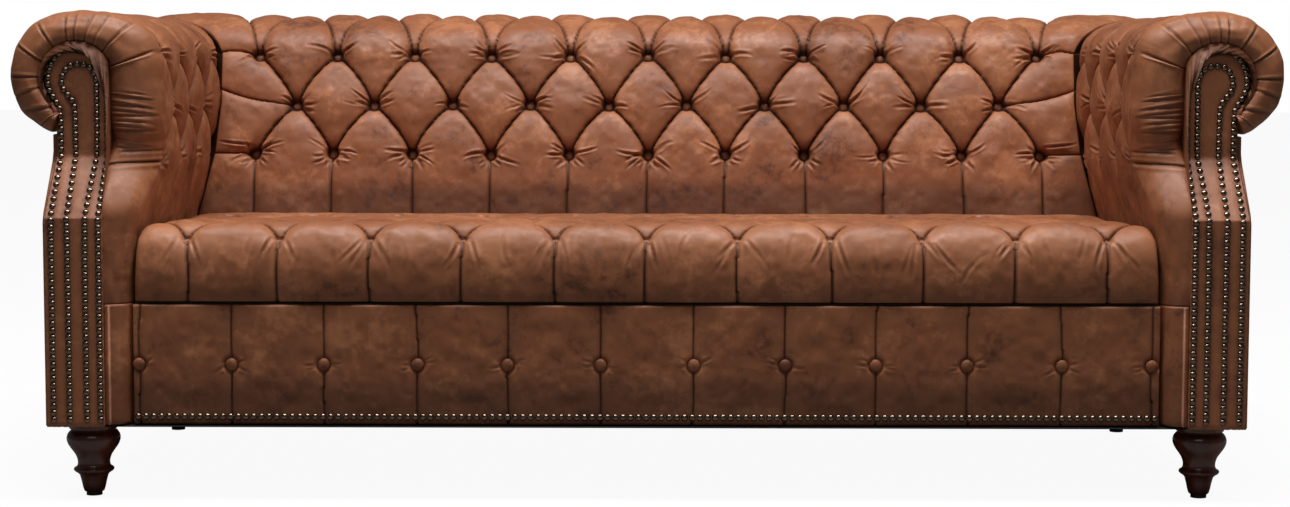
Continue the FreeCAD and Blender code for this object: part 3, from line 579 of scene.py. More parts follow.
def pad_from(name, sheet, core, place, cap=None):
    """Closes a sheet with its hidden side, and its ends, into one pad."""
    u, a, b = sheet.surface()
    n, m = u.shape
    depth, marked = sheet.depth, sheet.slit
    # Darker the deeper the leather lies: painted shade in the folds, partly antique patina, joined by the
    # painted shade near the seat and floor.
    hollow = np.clip(np.maximum(sheet.depth / 30.0, sheet.painted_shade), 0, 1)
    # Dark lines in the folds, in the wrinkle grooves and beside the folds: painted shade.
    near = np.zeros(sheet.slit.shape)
    near[:, 1:-1] = np.maximum(sheet.slit[:, 2:], sheet.slit[:, :-2])
    line = np.maximum.reduce([sheet.slit, sheet.groove, 0.25 * near])
    worn = np.clip(sheet.worn, 0, 1)
    if cap is not None:
        u, a, b, depth, marked, hollow, line, worn = cap(sheet, u, a, b, hollow, line, worn)
        m = u.shape[1]
    core_a, core_b = np.array(core, float).T
    hidden = len(core)
    low, high = sheet.core_ends(core_a, core_b)
    inner_u = low[:, None] + (high - low)[:, None] * np.linspace(0, 1, m)[None, :]
    inner = place(inner_u.ravel(), np.repeat(core_a, m), np.repeat(core_b, m))
    corners = np.concatenate([place(u.ravel(), a.ravel(), b.ravel()), inner])
    flat = np.zeros((hidden, m))
    faces = [grid_faces(depth, marked, 0), grid_faces(flat, flat > 1, n * m)]
    index = np.arange(len(corners)).reshape(n + hidden, m)
    faces += bridge(index[n - 1], index[n]) + bridge(index[-1], index[0])
    for end, flip in ((0, 1), (m - 1, -1)):
        faces.append(zip_strip(index[:n, end], index[n:, end][::-1], flip))
    masks = masks_of(hollow, line, worn, hidden * m, 0.6)
    return add_mesh(name, corners, np.concatenate(faces), masks)


# ---------------------------------------------------------------- inside back


def arm_face(height):
    """How far the inner face of an arm lies from the outside of the sofa, at a height."""
    steps = [(DECK, 212.0), (430.0, 216.0), (ROW_3, 245.0), (ROW_2, 254.0), (735.0, 250.5)]
    return np.interp(height, [z for z, _ in steps], [d for _, d in steps])


def row_places(line, row_3, row_2):
    """Runs along the section of the four rows of buttons, from the lowest."""
    return [
        line.nearest(row_3, ROW_3),
        line.nearest(row_2, ROW_2),
        line.nearest(*roll_point(ROW_1_ANGLE)),
        line.nearest(*roll_point(ROW_0_ANGLE)),
    ]


def core_line(depths):
    """The hidden side of a rolled pad, from the hem round the timber and down to the deck."""
    ring = [(HEAD_CENTRE[0] - 60 * math.cos(math.radians(t)), HEAD_CENTRE[1] + 60 * math.sin(math.radians(t)))
            for t in range(-50, 165, 12)]
    return [(81.0, 622.0)] + ring + depths


def loose(random, amount):
    """A small random amount to either side."""
    return float(random.uniform(-amount, amount))


def diamonds(sheet, rows, columns, pitch, depth, middle, seed, powers, limits=None, first=None):
    """Folds between neighbouring rows of buttons, each row shifted by half a pitch."""
    random = np.random.default_rng(seed)
    spots = {}

    def spot(k, x):
        key = (k, round(x))
        if key not in spots:
            spots[key] = (x + loose(random, 1.6), rows[k] + loose(random, 1.4))
        return spots[key]

    for k in range(len(rows) - 1):
        for x in columns[k]:
            for side in (-1, 1):
                upper = x + side * pitch / 2
                if limits and not limits(k, x, upper):
                    continue
                low, high = spot(k, x), spot(k + 1, upper)
                away = 5.0 * side
                points = fold(
                    (low[0] + away * 0.7, low[1] + 2), (high[0] - away, high[1] - 3),
                    first if first and k == 0 else depth, depth,
                    middle + loose(random, 1.5), powers[k], bow=loose(random, 2.5)
                )
                sheet.crease(points)
    return spots


def buttons_of(spots, columns):
    """The buttons' places, row by row, at the columns where folds meet."""
    return [spots[(k, round(x))] for k, row in enumerate(columns) for x in row if (k, round(x)) in spots]


def upright_folds(sheet, columns, spots, top, count, sway, foot, sunk, random):
    """The folds that drop from the lowest row of buttons to the lower edge of the sheet."""
    t = np.linspace(0, 1, count)
    for x in columns:
        along = spots[(0, round(x))][0] + loose(random, sway) * np.sin(math.pi * t) + loose(random, 4.0) * t
        depth = foot + (sunk - foot) * faded(t * top, 15.0)
        sheet.crease(np.stack([along, top * (1 - t), depth], axis=1))


def back_sheet():
    """The back's sheet over its section, and the runs of its four rows of buttons."""
    face = [(335.0, DECK), (334.0, 380.0), (330.0, 430.0), (310.0, ROW_3), (285.0, ROW_2)]
    line = oriented(Line(roll_line(face), 11.0))
    rows = row_places(line, 310.0, 285.0)
    quick = coarser()
    places = mesh_rows(line.run[-1], rows, 1.8 * quick, 3.2 * quick)

    def end(run):
        a, b = line.at(run, 0.0)
        below = HALF_WIDTH - arm_face(b) - 0.5
        above = HALF_WIDTH - a - 0.5
        return np.where((b < 734.0) & (run < rows[2] + 20), below, above)

    sheet = Sheet(line, places, -730.0, 730.0, lambda r: -end(r), end, (46, 46))

    def core_end(a, b):
        return HALF_WIDTH - np.where(b < 700, np.maximum(a, arm_face(b)), a) - 0.5

    sheet.core_ends = lambda a, b: (-core_end(a, b), core_end(a, b))
    return sheet, rows


def build_back():
    """The inside back, with the places of its buttons."""
    tuft = settings()
    depth, middle = tuft.button_sunk / MM, tuft.crease_sunk / MM
    sheet, rows = back_sheet()
    odd = [BACK_PITCH * k for k in range(-5, 6)]
    even = [BACK_PITCH * (k - 4.5) for k in range(10)]
    wide = [-803.0] + even + [803.0]

    def limits(k, x, upper):
        return not (k == 0 and abs(upper) > 700) and not (k == 1 and abs(x) > 700)

    spots = diamonds(
        sheet, rows, [odd, wide, odd], BACK_PITCH, depth, middle, tuft.seed, (1.3, 1.3, 1.25), limits=limits
    )
    buttons = buttons_of(spots, [odd, even, odd, even])
    random = np.random.default_rng(tuft.seed + 1)
    upright_folds(sheet, odd, spots, rows[0] - 5, FOLD_POINTS, 4.0, FOLD_FOOT, depth, random)
    for side in (-1, 1):
        for k, x, rise, bow in ((0, 730.0, 0.0, 0.0), (1, 657.0, 34.0, -9.0), (2, 730.0, -2.0, 7.0)):
            a = spots[(k, round(side * x))]
            b = (side * 812.0, rows[k] + rise)
            sheet.crease(flat_fold((a[0] + side * 6, a[1]), b, depth, 11.0, bow))
    for edge, sunk in (("left", SIDE_SUNK), ("right", SIDE_SUNK), ("upper", HEM_SUNK)):
        sheet.hold(edge, sunk)
    sheet.fill(PAD_LOAD, 0.5, tuft.seed)
    sheet.wrinkles(buttons, tuft.seed + 2)
    for u0, s0 in (spots[(0, round(x))] for x in odd):
        for side in (-1, 1):
            for _ in range(2):
                angle, length = -math.pi / 2 + side * random.uniform(0.35, 1.0), random.uniform(18, 34)
                sheet.press(u0, s0, angle, length, 2.6, 2.4, start=9, curve=loose(random, 0.3))
    for side in (-1, 1):
        a = spots[(0, round(side * 730.0))]
        sheet.press(a[0], a[1] + 15, math.pi if side < 0 else 0.0, 58, 3.0, 1.9, start=10, curve=0.1 * side)
    sheet.dimple(buttons, DIMPLE, depth + 1)
    # Painted highlight along the crown of the roll, partly wear.
    rub_and_highlight(sheet, rows[3] - 20, 75.0, 0.50)
    # Painted shade: the lower back is drawn darker towards the seat.
    sheet.painted_shade = 0.80 * smooth_step((rows[0] + 12 - sheet.s) / 95.0)
    over = np.exp(-(((sheet.s - rows[3] + 62.0) / 70.0) ** 4))
    sheet.depth -= 9.0 * over * sheet.full**0.6
    core = core_line([(222.0, ROW_2), (250.0, ROW_3), (275.0, 430.0), (275.0, DECK)])
    made = pad_from("inside_back", sheet, core, back_place)
    return made, button_frames(sheet, buttons, depth + 1.0, back_place)


def button_frames(sheet, buttons, sunk, place):
    """Where each button sits and which way it faces."""
    frames = []
    for u0, s0 in buttons:
        a, b = sheet.line.at(s0, sunk)
        a2, b2 = sheet.line.at(s0, sunk - 10)
        here = place(np.array([u0]), np.array([a]), np.array([b]))[0]
        out = place(np.array([u0]), np.array([a2]), np.array([b2]))[0] - here
        frames.append((here, out / np.linalg.norm(out)))
    return frames


# ---------------------------------------------------------------- arms


def facing_front(height):
    """The front face of the scroll board, which leans back above its bend."""
    rise = (height - FACING_BREAK) / (FACING_BEND - FACING_BREAK)
    return -HALF_DEPTH + FACING_LEAN * np.clip(rise, 0.0, 1.0)


def arm_sheet():
    """An arm's sheet, which ends behind the facing, and the runs of its four rows of buttons."""
    face = [(212.0, DECK), (213.0, 380.0), (216.0, 430.0), (245.0, ROW_3), (254.0, ROW_2)]
    line = oriented(Line(roll_line(face), 11.0))
    rows = row_places(line, 245.0, 254.0)
    quick = coarser()
    span = list(np.arange(rows[0], rows[1] + 10, 30.0))
    places = mesh_rows(line.run[-1], rows + span, 1.9 * quick, 3.1 * quick)
    a, b = line.at(places, 0.0)
    low = smooth_step((640 - b) / 90) * (places < rows[2])
    reach = (1 - low) * 44 + low * np.clip((a - FACING_INNER) * 0.95, 30, 75)
    lean = smooth_step((b - FACING_BREAK) / (FACING_BEND + 20 - FACING_BREAK))
    lower = facing_front(b) + 8
    blend = smooth_step((b - 545) / 70)
    front = np.where(places < rows[2], lower * (1 - blend) + ROLL_FRONT * blend, ROLL_FRONT)
    front = np.minimum(front, np.where(places < rows[2], -449.0 + 66 * lean + 7, ROLL_FRONT))
    sheet = Sheet(
        line, places, -300.0, 160.0,
        lambda r: np.interp(r, places, front + reach),
        lambda r: HALF_DEPTH - line.at(r, 0.0)[0],
        (int(26 / quick), int(28 / quick)),
    )
    sheet.reach, sheet.button_rows = reach, rows
    sheet.core_ends = lambda a, b: (
        np.where(b > FACING_BEND, ROLL_FRONT + 4, facing_front(b) + 9), HALF_DEPTH - a
    )
    return sheet, rows


# Pleats gathered over the head of a facing: angle round it in degrees, and strength
HEAD_PLEATS = [(54, 1.0), (29, 1.0), (2, 1.0), (-17, 0.6), (-30, 1.0), (-52, 0.6), (80, 1.0), (91, 0.5),
               (104, 1.0), (118, 0.4), (136, 1.0), (160, 1.2)]
# Creases across the arm's front at the bend: height, how far round they reach, strength, and dip
NECK_CREASES = ((547.0, 1.0, 1.0, 13.0), (566.0, 0.75, 0.7, 5.0))


def cap_marks(t, edge_a, edge_b, roll, inner_side):
    """Relief of the pleats and wrinkles behind a facing, with painted shade in their dark lines and painted
    highlights, partly wear, on their crests.
    """
    random = np.random.default_rng(settings().seed + 31)
    extra, mask, gloss = (np.zeros((len(edge_b), len(t))) for _ in range(3))
    angle = np.degrees(np.arctan2(edge_b - HEAD_CENTRE[1], HEAD_CENTRE[0] - edge_a))
    radius = np.hypot(edge_a - HEAD_CENTRE[0], edge_b - HEAD_CENTRE[1])
    for where, strength in HEAD_PLEATS:
        off = (angle - where + 6 * random.uniform(-0.3, 0.3)) * math.pi / 180 * radius
        drift = random.uniform(-7, 7)
        y = off[:, None] + drift * t[None, :] ** 2
        fade = smooth_step((t - 0.12 * random.uniform(0.2, 1.6)) / 0.35)[None, :] * roll[:, None]
        groove = bell(y / 2.6)
        ridge = bell((y - 4.6) / 2.6)
        extra -= strength * fade * (3.4 * groove - 1.6 * ridge)
        mask = np.maximum(mask, 0.8 * fade * bell(y / 1.9))
        gloss = np.maximum(gloss, fade * ridge * 0.9)
    for height in np.arange(572, 668, 4.6):
        where = height + random.uniform(-1.8, 1.8)
        slope = random.uniform(-22, 2)
        y = (edge_b[:, None] - where) - slope * (1 - t[None, :]) ** 1.4
        fade = smooth_step((t - random.uniform(0.15, 0.62)) / 0.3)[None, :]
        fade = fade * (1 - smooth_step((t - 0.93) / 0.07))[None, :] * inner_side[:, None]
        strength = random.uniform(0.25, 1.0) * (1.0 if 585 < height < 655 else 0.5)
        groove = bell(y / 1.6) - 0.6 * bell((y - 3.0) / 1.6)
        extra -= 3.4 * strength * fade * groove
        mask = np.maximum(mask, 0.5 * fade * strength * bell(y / 1.5))
        gloss = np.maximum(gloss, fade * strength * np.clip(-groove, 0, 1))
    for height, reach, strength, dip in NECK_CREASES:
        y = edge_b[:, None] - (height + 2 - dip * t[None, :] ** 6)
        fade = np.minimum(1, t[None, :] * 9) * (1 - smooth_step((t - reach + 0.1) / 0.1))[None, :]
        if reach >= 1:
            fade = np.ones_like(fade)
        fade = fade * inner_side[:, None]
        extra -= strength * fade * (4.2 * bell(y / 2.2) - 1.3 * bell((y + 6) / 4.0))
        mask = np.maximum(mask, strength * fade * bell(y / 1.5))
    return extra, mask, gloss


def arm_cap(sheet, u, a, b, hollow, line, worn):
    """Rolls the front of an arm pad round to the edge of its facing."""
    columns = int(22 / coarser())
    rows, run, n = sheet.button_rows, sheet.rows, len(sheet.rows)
    edge_a, edge_b = a[:, 0], b[:, 0]
    inner_side = run < rows[2] + 40
    away = np.stack([edge_a - HEAD_CENTRE[0], edge_b - HEAD_CENTRE[1]], axis=1)
    away /= np.linalg.norm(away, axis=1)[:, None]
    head = np.array(HEAD_CENTRE) + 53.0 * away
    column = np.stack([np.full(n, FACING_INNER - 1.0), edge_b], axis=1)
    neck = np.stack([np.full(n, 88.0), np.full(n, 632.0)], axis=1)
    to_column = smooth_step((735 - edge_b) / 120) * inner_side
    under = smooth_step((run - (rows[3] + 105)) / 60)
    target = head * (1 - to_column)[:, None] + column * to_column[:, None]
    target = target * (1 - under)[:, None] + neck * under[:, None]
    roll = 1 - smooth_step((600 - edge_b) / 60) * inner_side
    t = np.linspace(0, 1, columns + 1)[1:]
    peak = 1.0 - 0.34 * roll
    turn = np.minimum(t / CAP_BEND, 1.0) * math.pi / 2
    past = np.maximum(0.0, (t - CAP_BEND) / CAP_PAST)
    shares = peak[:, None] * (1 - np.cos(turn)) + (1 - peak)[:, None] * past
    forwards = np.sin(turn) - roll[:, None] * 0.40 * past**2
    extra, mask, gloss = cap_marks(t, edge_a, edge_b, roll, inner_side)
    reach = sheet.reach[:, None]
    low = smooth_step((430 - edge_b) / 110)[:, None] * inner_side[:, None]
    cap_a = edge_a[:, None] + (target[:, 0] - edge_a)[:, None] * shares
    cap_b = edge_b[:, None] + (target[:, 1] - edge_b)[:, None] * shares
    swell = 1.4 * uneven(run[:, None] + 0 * shares, 300 * t[None, :] + 0 * shares, 36.0, 77)
    cap_u = u[:, :1] - reach * forwards - (extra + swell) * np.sin(turn)
    push = (extra + swell) * np.cos(turn)
    cap_a = cap_a + push * sheet.line_na[:, None]
    cap_b = cap_b + push * sheet.line_nb[:, None]
    fade = (1 - t)[None, :] ** 2
    # Painted highlight on the upper part of the roll's front, partly wear.
    front_highlight_and_wear = (1 - smooth_step((t - 0.7) / 0.25))[None, :] * smooth_step((edge_b - 440) / 120)[:, None]
    gloss = gloss + 0.42 * front_highlight_and_wear
    # Painted shade where the roll's front turns in to the facing and towards the floor.
    cap_shade_and_patina = hollow[:, :1] * fade + (1 - fade) * 0.10 + 0.75 * np.clip((t - 0.86) / 0.14, 0, 1)[None, :]
    cap_shade_and_patina = np.maximum(cap_shade_and_patina, 0.72 * low)

    def joined(cap, pad):
        return np.concatenate([cap[:, ::-1], pad], axis=1)

    u, a, b = joined(cap_u, u), joined(cap_a, a), joined(cap_b, b)
    depth, marked = joined(-extra, sheet.depth), joined(np.zeros(extra.shape, bool), sheet.slit)
    return u, a, b, depth, marked, joined(cap_shade_and_patina, hollow), joined(mask, line), joined(gloss, worn)


def build_arm(side, name):
    """One rolled arm, with the places of its buttons."""
    tuft = settings()
    depth, middle = tuft.button_sunk / MM, tuft.crease_sunk / MM
    sheet, rows = arm_sheet()
    seed = tuft.seed + (40 if side > 0 else 60)
    odd = [-290.0, -140.0, 10.0, 160.0]
    even = [-215.0, -65.0, 85.0, 235.0]

    def limits(k, x, upper):
        return upper > -350 if k == 0 else k != 1 or x > -350

    spots = diamonds(
        sheet, rows, [odd, even, odd], PITCH, depth, middle, seed, (1.3, 1.3, 1.25), limits=limits
    )
    buttons = buttons_of(spots, [odd, even[:3], odd, even])
    random = np.random.default_rng(seed + 1)
    upright_folds(sheet, odd, spots, rows[0] - 5, FOLD_POINTS, 4.0, FOLD_FOOT, depth, random)
    a = spots[(0, -290)]
    sheet.crease(flat_fold((a[0] - 6, a[1]), (-420.0, rows[0] + 1), depth, 4.5, 2.0))
    a = spots[(2, -290)]
    sheet.crease(flat_fold((a[0] - 6, a[1]), (-400.0, rows[2] - 20), depth, 3.0, 4.0))
    sheet.hold("right", SIDE_SUNK)
    sheet.hold("upper", HEM_SUNK)
    sheet.fill(PAD_LOAD, 0.5, seed)
    ease = smooth_step(np.arange(sheet.width) / (sheet.count[0] * 0.9))[None, :]
    sheet.depth = sheet.depth * ease + np.minimum(sheet.depth, 3.0) * (1 - ease)
    sheet.slit[:, 0] = False
    sheet.wrinkles(buttons, seed + 2)
    sheet.dimple(buttons, DIMPLE, depth + 1)
    # Painted highlight along the crown of the roll, partly wear.
    rub_and_highlight(sheet, rows[3] - 30, 90.0, 0.45)
    sheet.worn += 0.40 * smooth_step((-285.0 - sheet.u) / 60.0) * (sheet.s > rows[0] - 120.0)
    sheet.line_na = np.interp(sheet.rows, sheet.line.run, sheet.line.na)
    sheet.line_nb = np.interp(sheet.rows, sheet.line.run, sheet.line.nb)
    core = core_line([(170.5, ROW_2), (170.5, ROW_3), (170.5, 430.0), (170.5, DECK)])

    def place(u, a, b):
        return np.stack([side * (HALF_WIDTH - a), u, b], axis=1)

    made = pad_from(name + "_arm", sheet, core, place, cap=arm_cap)
    return made, button_frames(sheet, buttons, depth + 1.0, place)


# ---------------------------------------------------------------- seat


def build_seat():
    """The bench seat, with the places of its buttons."""
    tuft = settings()
    depth, middle = 26.0, 12.0
    points = [
        (880.0, DECK + 0.5), (885.0, 345.0), (886.0, 370.0), (883.5, 396.0), (877.0, 420.0), (866.0, 439.0),
        (850.0, 451.5), (830.0, 456.5), (800.0, 455.5), (600.0, 447.0), (400.0, 439.0), (332.0, 436.0),
    ]
    line = Line(points, 7.0)
    middle_run = len(line.run) * 3 // 5
    if line.nb[middle_run] < 0:
        line.na, line.nb = -line.na, -line.nb
    rows = [line.nearest(876.0, 438.0)]
    rows += [line.nearest(HALF_DEPTH - y, 450.0) for y in (-318.0, -210.0, -102.0, 6.0)]
    quick = coarser()
    places = mesh_rows(line.run[-1], [rows[0], rows[0] + 30, rows[1], rows[2]], 1.9 * quick, 3.3 * quick)

    def end(run):
        b = line.at(run, 0.0)[1]
        return HALF_WIDTH - arm_face(b) - 2.0

    sheet = Sheet(line, places, -750.0, 750.0, lambda r: -end(r), end, (int(30 / quick), int(30 / quick)))
    sheet.core_ends = lambda a, b: (arm_face(b) + 2.0 - HALF_WIDTH, HALF_WIDTH - arm_face(b) - 2.0)
    odd = [PITCH * k for k in range(-5, 6)]
    even = [PITCH * (k - 4.5) for k in range(10)]
    wide = [-825.0] + even + [825.0]
    spots = diamonds(
        sheet, rows, [odd, wide, odd, wide], PITCH, depth, middle, tuft.seed + 90, (1.15, 1.0, 1.0, 1.0),
        limits=lambda k, x, upper: not (k in (1, 3) and abs(x) > 800 and abs(upper) > 800), first=17.0
    )
    buttons = buttons_of(spots, [odd, even, odd, even, odd])
    random = np.random.default_rng(tuft.seed + 91)
    upright_folds(sheet, odd, spots, rows[0] - 3, 120, 3.0, 8.5, 17.0, random)
    for edge, sunk in (("left", 17.0), ("right", 17.0), ("lower", 5.0), ("upper", 8.0)):
        sheet.hold(edge, sunk)
    sheet.fill(SEAT_LOAD, 0.5, tuft.seed + 92)
    pinches, tufts = buttons[: len(odd)], buttons[len(odd) :]
    sheet.wrinkles(tufts, tuft.seed + 93, length=(14, 34))
    for x in odd:
        x0 = spots[(0, round(x))][0]
        for side in (-1, 1):
            for _ in range(2):
                angle = -math.pi / 2 + side * random.uniform(0.15, 0.7)
                sheet.press(
                    x0 + side * random.uniform(4, 16), rows[0] - random.uniform(0, 12), angle,
                    random.uniform(28, 75), random.uniform(0.8, 1.8), 2.6, start=4, curve=loose(random, 0.2)
                )
    for x in even:
        for _ in range(2):
            sheet.press(
                x + loose(random, 50), random.uniform(30, 90), math.pi / 2 + loose(random, 0.35),
                random.uniform(30, 60), random.uniform(0.5, 1.3), 3.0, curve=loose(random, 0.4)
            )
    # Painted highlight along the seat's brow, partly wear.
    rub_and_highlight(sheet, line.nearest(872.0, 432.0), 30.0, 1.0)
    # Painted shade: the seat's front is drawn darker towards its foot.
    sheet.painted_shade = 0.64 * smooth_step((62.0 - sheet.s) / 60.0)
    sheet.dimple(tufts, DIMPLE, depth + 1)
    sheet.dimple(pinches, 5.0, 17.5)
    core = [(a, DECK + 0.5) for a in (333.0, 420.0, 520.0, 620.0, 720.0, 775.0)]
    core += [(775.0, 338.0), (785.0, 359.0), (800.0, 359.0), (813.0, 338.0), (813.0, DECK + 0.5)]
    made = pad_from("seat", sheet, core, back_place)
    frames = button_frames(sheet, pinches, 23.0, back_place) + button_frames(sheet, tufts, depth, back_place)
    return made, frames


# ---------------------------------------------------------------- materials


def link(tree, a, b):
    tree.links.new(a, b)


def new_group(name, inputs, outputs):
    """An empty shader group with its sockets."""
    group = bpy.data.node_groups.new(name, "ShaderNodeTree")
    for title, kind, default in inputs:
        socket = group.interface.new_socket(title, in_out="INPUT", socket_type=kind)
        if default is not None:
            socket.default_value = default
    for title, kind in outputs:
        group.interface.new_socket(title, in_out="OUTPUT", socket_type=kind)
    return group, group.nodes.new("NodeGroupInput"), group.nodes.new("NodeGroupOutput")


def feed(tree, socket, value):
    """Sets a socket to a value, or links another socket to it."""
    if isinstance(value, (int, float, str, tuple)):
        socket.default_value = value
    else:
        link(tree, value, socket)


def add_node(tree, kind, values, **options):
    """A node with its options, and its sockets set to values or linked to other sockets."""
    made = tree.nodes.new(kind)
    for key, value in options.items():
        setattr(made, key, value)
    for socket, value in values.items():
        feed(tree, made.inputs[socket], value)
    return made


def cleared(owner):
    """The node tree of a material or of the world, emptied."""
    owner.use_nodes = True
    owner.node_tree.nodes.clear()
    return owner.node_tree


def object_place(tree):
    return tree.nodes.new("ShaderNodeTexCoord").outputs["Object"]


def noise(tree, vector, scale, detail=4.0, rough=0.6, distortion=0.0):
    """A cloudy pattern from 0 to 1."""
    values = {
        "Vector": vector, "Scale": scale, "Detail": detail, "Roughness": rough, "Distortion": distortion,
    }
    return add_node(tree, "ShaderNodeTexNoise", values).outputs["Fac"]


def spread(tree, value, low, high, to_low=0.0, to_high=1.0):
    """Maps one range of a value smoothly onto another."""
    values = {"Value": value, "From Min": low, "From Max": high, "To Min": to_low, "To Max": to_high}
    return add_node(tree, "ShaderNodeMapRange", values, interpolation_type="SMOOTHSTEP").outputs["Result"]


def math_node(tree, kind, a, b):
    return add_node(tree, "ShaderNodeMath", {0: a, 1: b}, operation=kind).outputs[0]


def mix(tree, factor, a, b):
    return add_node(tree, "ShaderNodeMix", {0: factor, 6: a, 7: b}, data_type="RGBA").outputs[2]


def leather_group():
    """Antiqued leather: blotches, specks, dark folds of painted shade and antique patina, lighter edges of
    wear and painted highlight, and a fine grain.
    """
    colour, value = "NodeSocketColor", "NodeSocketFloat"
    group, given, out = new_group(
        "antiqued_leather",
        [("Light", colour, None), ("Middle", colour, None), ("Dark", colour, None), ("Fold", colour, None),
         ("Hollow", value, 0.0), ("Line", value, 0.0), ("Worn", value, 0.0), ("Tone", value, 0.0)],
        [("Color", colour), ("Roughness", value), ("Height", value)],
    )
    where = object_place(group)
    clouds = noise(group, where, 5.5, 5.0, 0.55, 0.4)
    blotch = noise(group, where, 17.0, 6.0, 0.62, 0.6)
    fleck = noise(group, where, 75.0, 5.0, 0.7, 0.3)
    pebble = noise(group, where, 900.0, 3.0, 0.6)
    pores = add_node(
        group, "ShaderNodeTexVoronoi", {"Vector": where, "Scale": 520.0}, feature="DISTANCE_TO_EDGE"
    )
    middle, light, dark, shade_and_patina_colour, hollow = (
        given.outputs[title] for title in ("Middle", "Light", "Dark", "Fold", "Hollow")
    )

    def add(a, b):
        return math_node(group, "ADD", a, b)

    def times(a, b):
        return math_node(group, "MULTIPLY", a, b)

    shade = add(spread(group, clouds, 0.34, 0.66, -0.30, 0.34), given.outputs["Tone"])
    shade = add(shade, spread(group, blotch, 0.30, 0.70, -0.36, 0.38))
    shade = add(shade, spread(group, fleck, 0.30, 0.72, -0.26, 0.26))
    base = mix(group, spread(group, shade, 0.02, 0.72), middle, light)
    base = mix(group, spread(group, shade, -0.08, -0.85), base, dark)
    # Towards the light colour: wear, partly painted highlight and sheen.
    base = mix(group, times(given.outputs["Worn"], 0.75), base, light)
    # Towards the fold colour where the leather lies deep: painted shade, partly antique patina.
    base = mix(group, spread(group, hollow, 0.46, 1.05, 0.0, 0.85), base, shade_and_patina_colour)
    # Dark fold lines: painted shade.
    base = mix(group, times(given.outputs["Line"], 0.92), base, shade_and_patina_colour)
    link(group, base, out.inputs["Color"])
    rough = add(spread(group, blotch, 0.3, 0.7, 0.46, 0.33), spread(group, fleck, 0.3, 0.7, 0.06, -0.05))
    link(group, add(rough, times(hollow, 0.18)), out.inputs["Roughness"])
    grain = add(times(pebble, 0.5), spread(group, pores.outputs["Distance"], 0.0, 0.25, 0.0, 0.5))
    link(group, add(grain, times(fleck, 0.9)), out.inputs["Height"])
    return group


def new_material(name):
    """A new material with its node tree and its one shader."""
    material = bpy.data.materials.new(name)
    tree = cleared(material)
    shader = tree.nodes.new("ShaderNodeBsdfPrincipled")
    add_node(tree, "ShaderNodeOutputMaterial", {0: shader.outputs[0]})
    return material, tree, shader


def bump(tree, height, shader, strength, distance):
    """Gives a shader a fine relief; the distance is in metres."""
    values = {"Height": height, "Strength": strength, "Distance": distance}
    link(tree, add_node(tree, "ShaderNodeBump", values).outputs[0], shader.inputs["Normal"])


def leather(name, tone=0.0, masks=True):
    """The antiqued leather, darker or lighter by its tone, with or without the meshes' masks."""
    made = bpy.data.materials.get(name)
    if made:
        return made
    material, tree, shader = new_material(name)
    group = bpy.data.node_groups.get("antiqued_leather") or leather_group()
    look = bpy.context.scene.sofa_leather
    colours = ("Light", "Middle", "Dark", "Fold")
    values = {title: tuple(getattr(look, title.lower())) + (1.0,) for title in colours}
    values["Tone"] = tone
    for title in ("Hollow", "Line", "Worn") if masks else ():
        values[title] = add_node(tree, "ShaderNodeAttribute", {}, attribute_name=title.lower()).outputs["Fac"]
    node = add_node(tree, "ShaderNodeGroup", values, node_tree=group)
    link(tree, node.outputs["Color"], shader.inputs["Base Color"])
    link(tree, node.outputs["Roughness"], shader.inputs["Roughness"])
    shader.inputs["Specular IOR Level"].default_value = 0.36
    bump(tree, node.outputs["Height"], shader, 0.35, 0.0006)
    return material


def plain_material(
    name, colour, rough, metallic=0.0, scale=60.0, contrast=0.25, coat=0.0, stretch=None, height=0.0
):
    """Paint, metal, wood or cloth with its own streaks or mottling."""
    made = bpy.data.materials.get(name)
    if made:
        return made
    material, tree, shader = new_material(name)
    where = object_place(tree)
    if stretch:
        where = add_node(tree, "ShaderNodeMapping", {"Vector": where, "Scale": stretch}).outputs[0]
    streak = noise(tree, where, scale, 5.0, 0.6, 0.5)
    dark = tuple(c * (1 - contrast) for c in colour) + (1.0,)
    light = tuple(min(1.0, c * (1 + contrast)) for c in colour) + (1.0,)
    values = {
        "Base Color": mix(tree, spread(tree, streak, 0.3, 0.7), dark, light),
        "Roughness": spread(tree, streak, 0.3, 0.7, rough * 0.85, rough * 1.15),
        "Metallic": metallic, "Coat Weight": coat, "Coat Roughness": 0.08,
    }
    for title, value in values.items():
        feed(tree, shader.inputs[title], value)
    if height:
        bump(tree, streak, shader, 0.4, height)
    return material


def woven(name, colour, pitch, rough=0.8):
    """Cloth or webbing with crossing threads."""
    made = bpy.data.materials.get(name)
    if made:
        return made
    material, tree, shader = new_material(name)
    where = object_place(tree)
    values = {"Vector": where, "Scale": pitch, "Distortion": 0.6}
    waves = [add_node(tree, "ShaderNodeTexWave", values, bands_direction=axis) for axis in ("X", "Y")]
    weave = math_node(tree, "MULTIPLY", *(wave.outputs["Fac"] for wave in waves))
    mottle = noise(tree, where, 14.0)
    dark = tuple(c * 0.55 for c in colour) + (1.0,)
    light = tuple(colour) + (1.0,)
    cloth = mix(tree, weave, dark, light)
    link(tree, mix(tree, spread(tree, mottle, 0.3, 0.7, 0.0, 0.25), cloth, dark), shader.inputs["Base Color"])
    shader.inputs["Roughness"].default_value = rough
    bump(tree, weave, shader, 0.5, 0.0005)
    return material


# ---------------------------------------------------------------- repeated pieces by geometry nodes


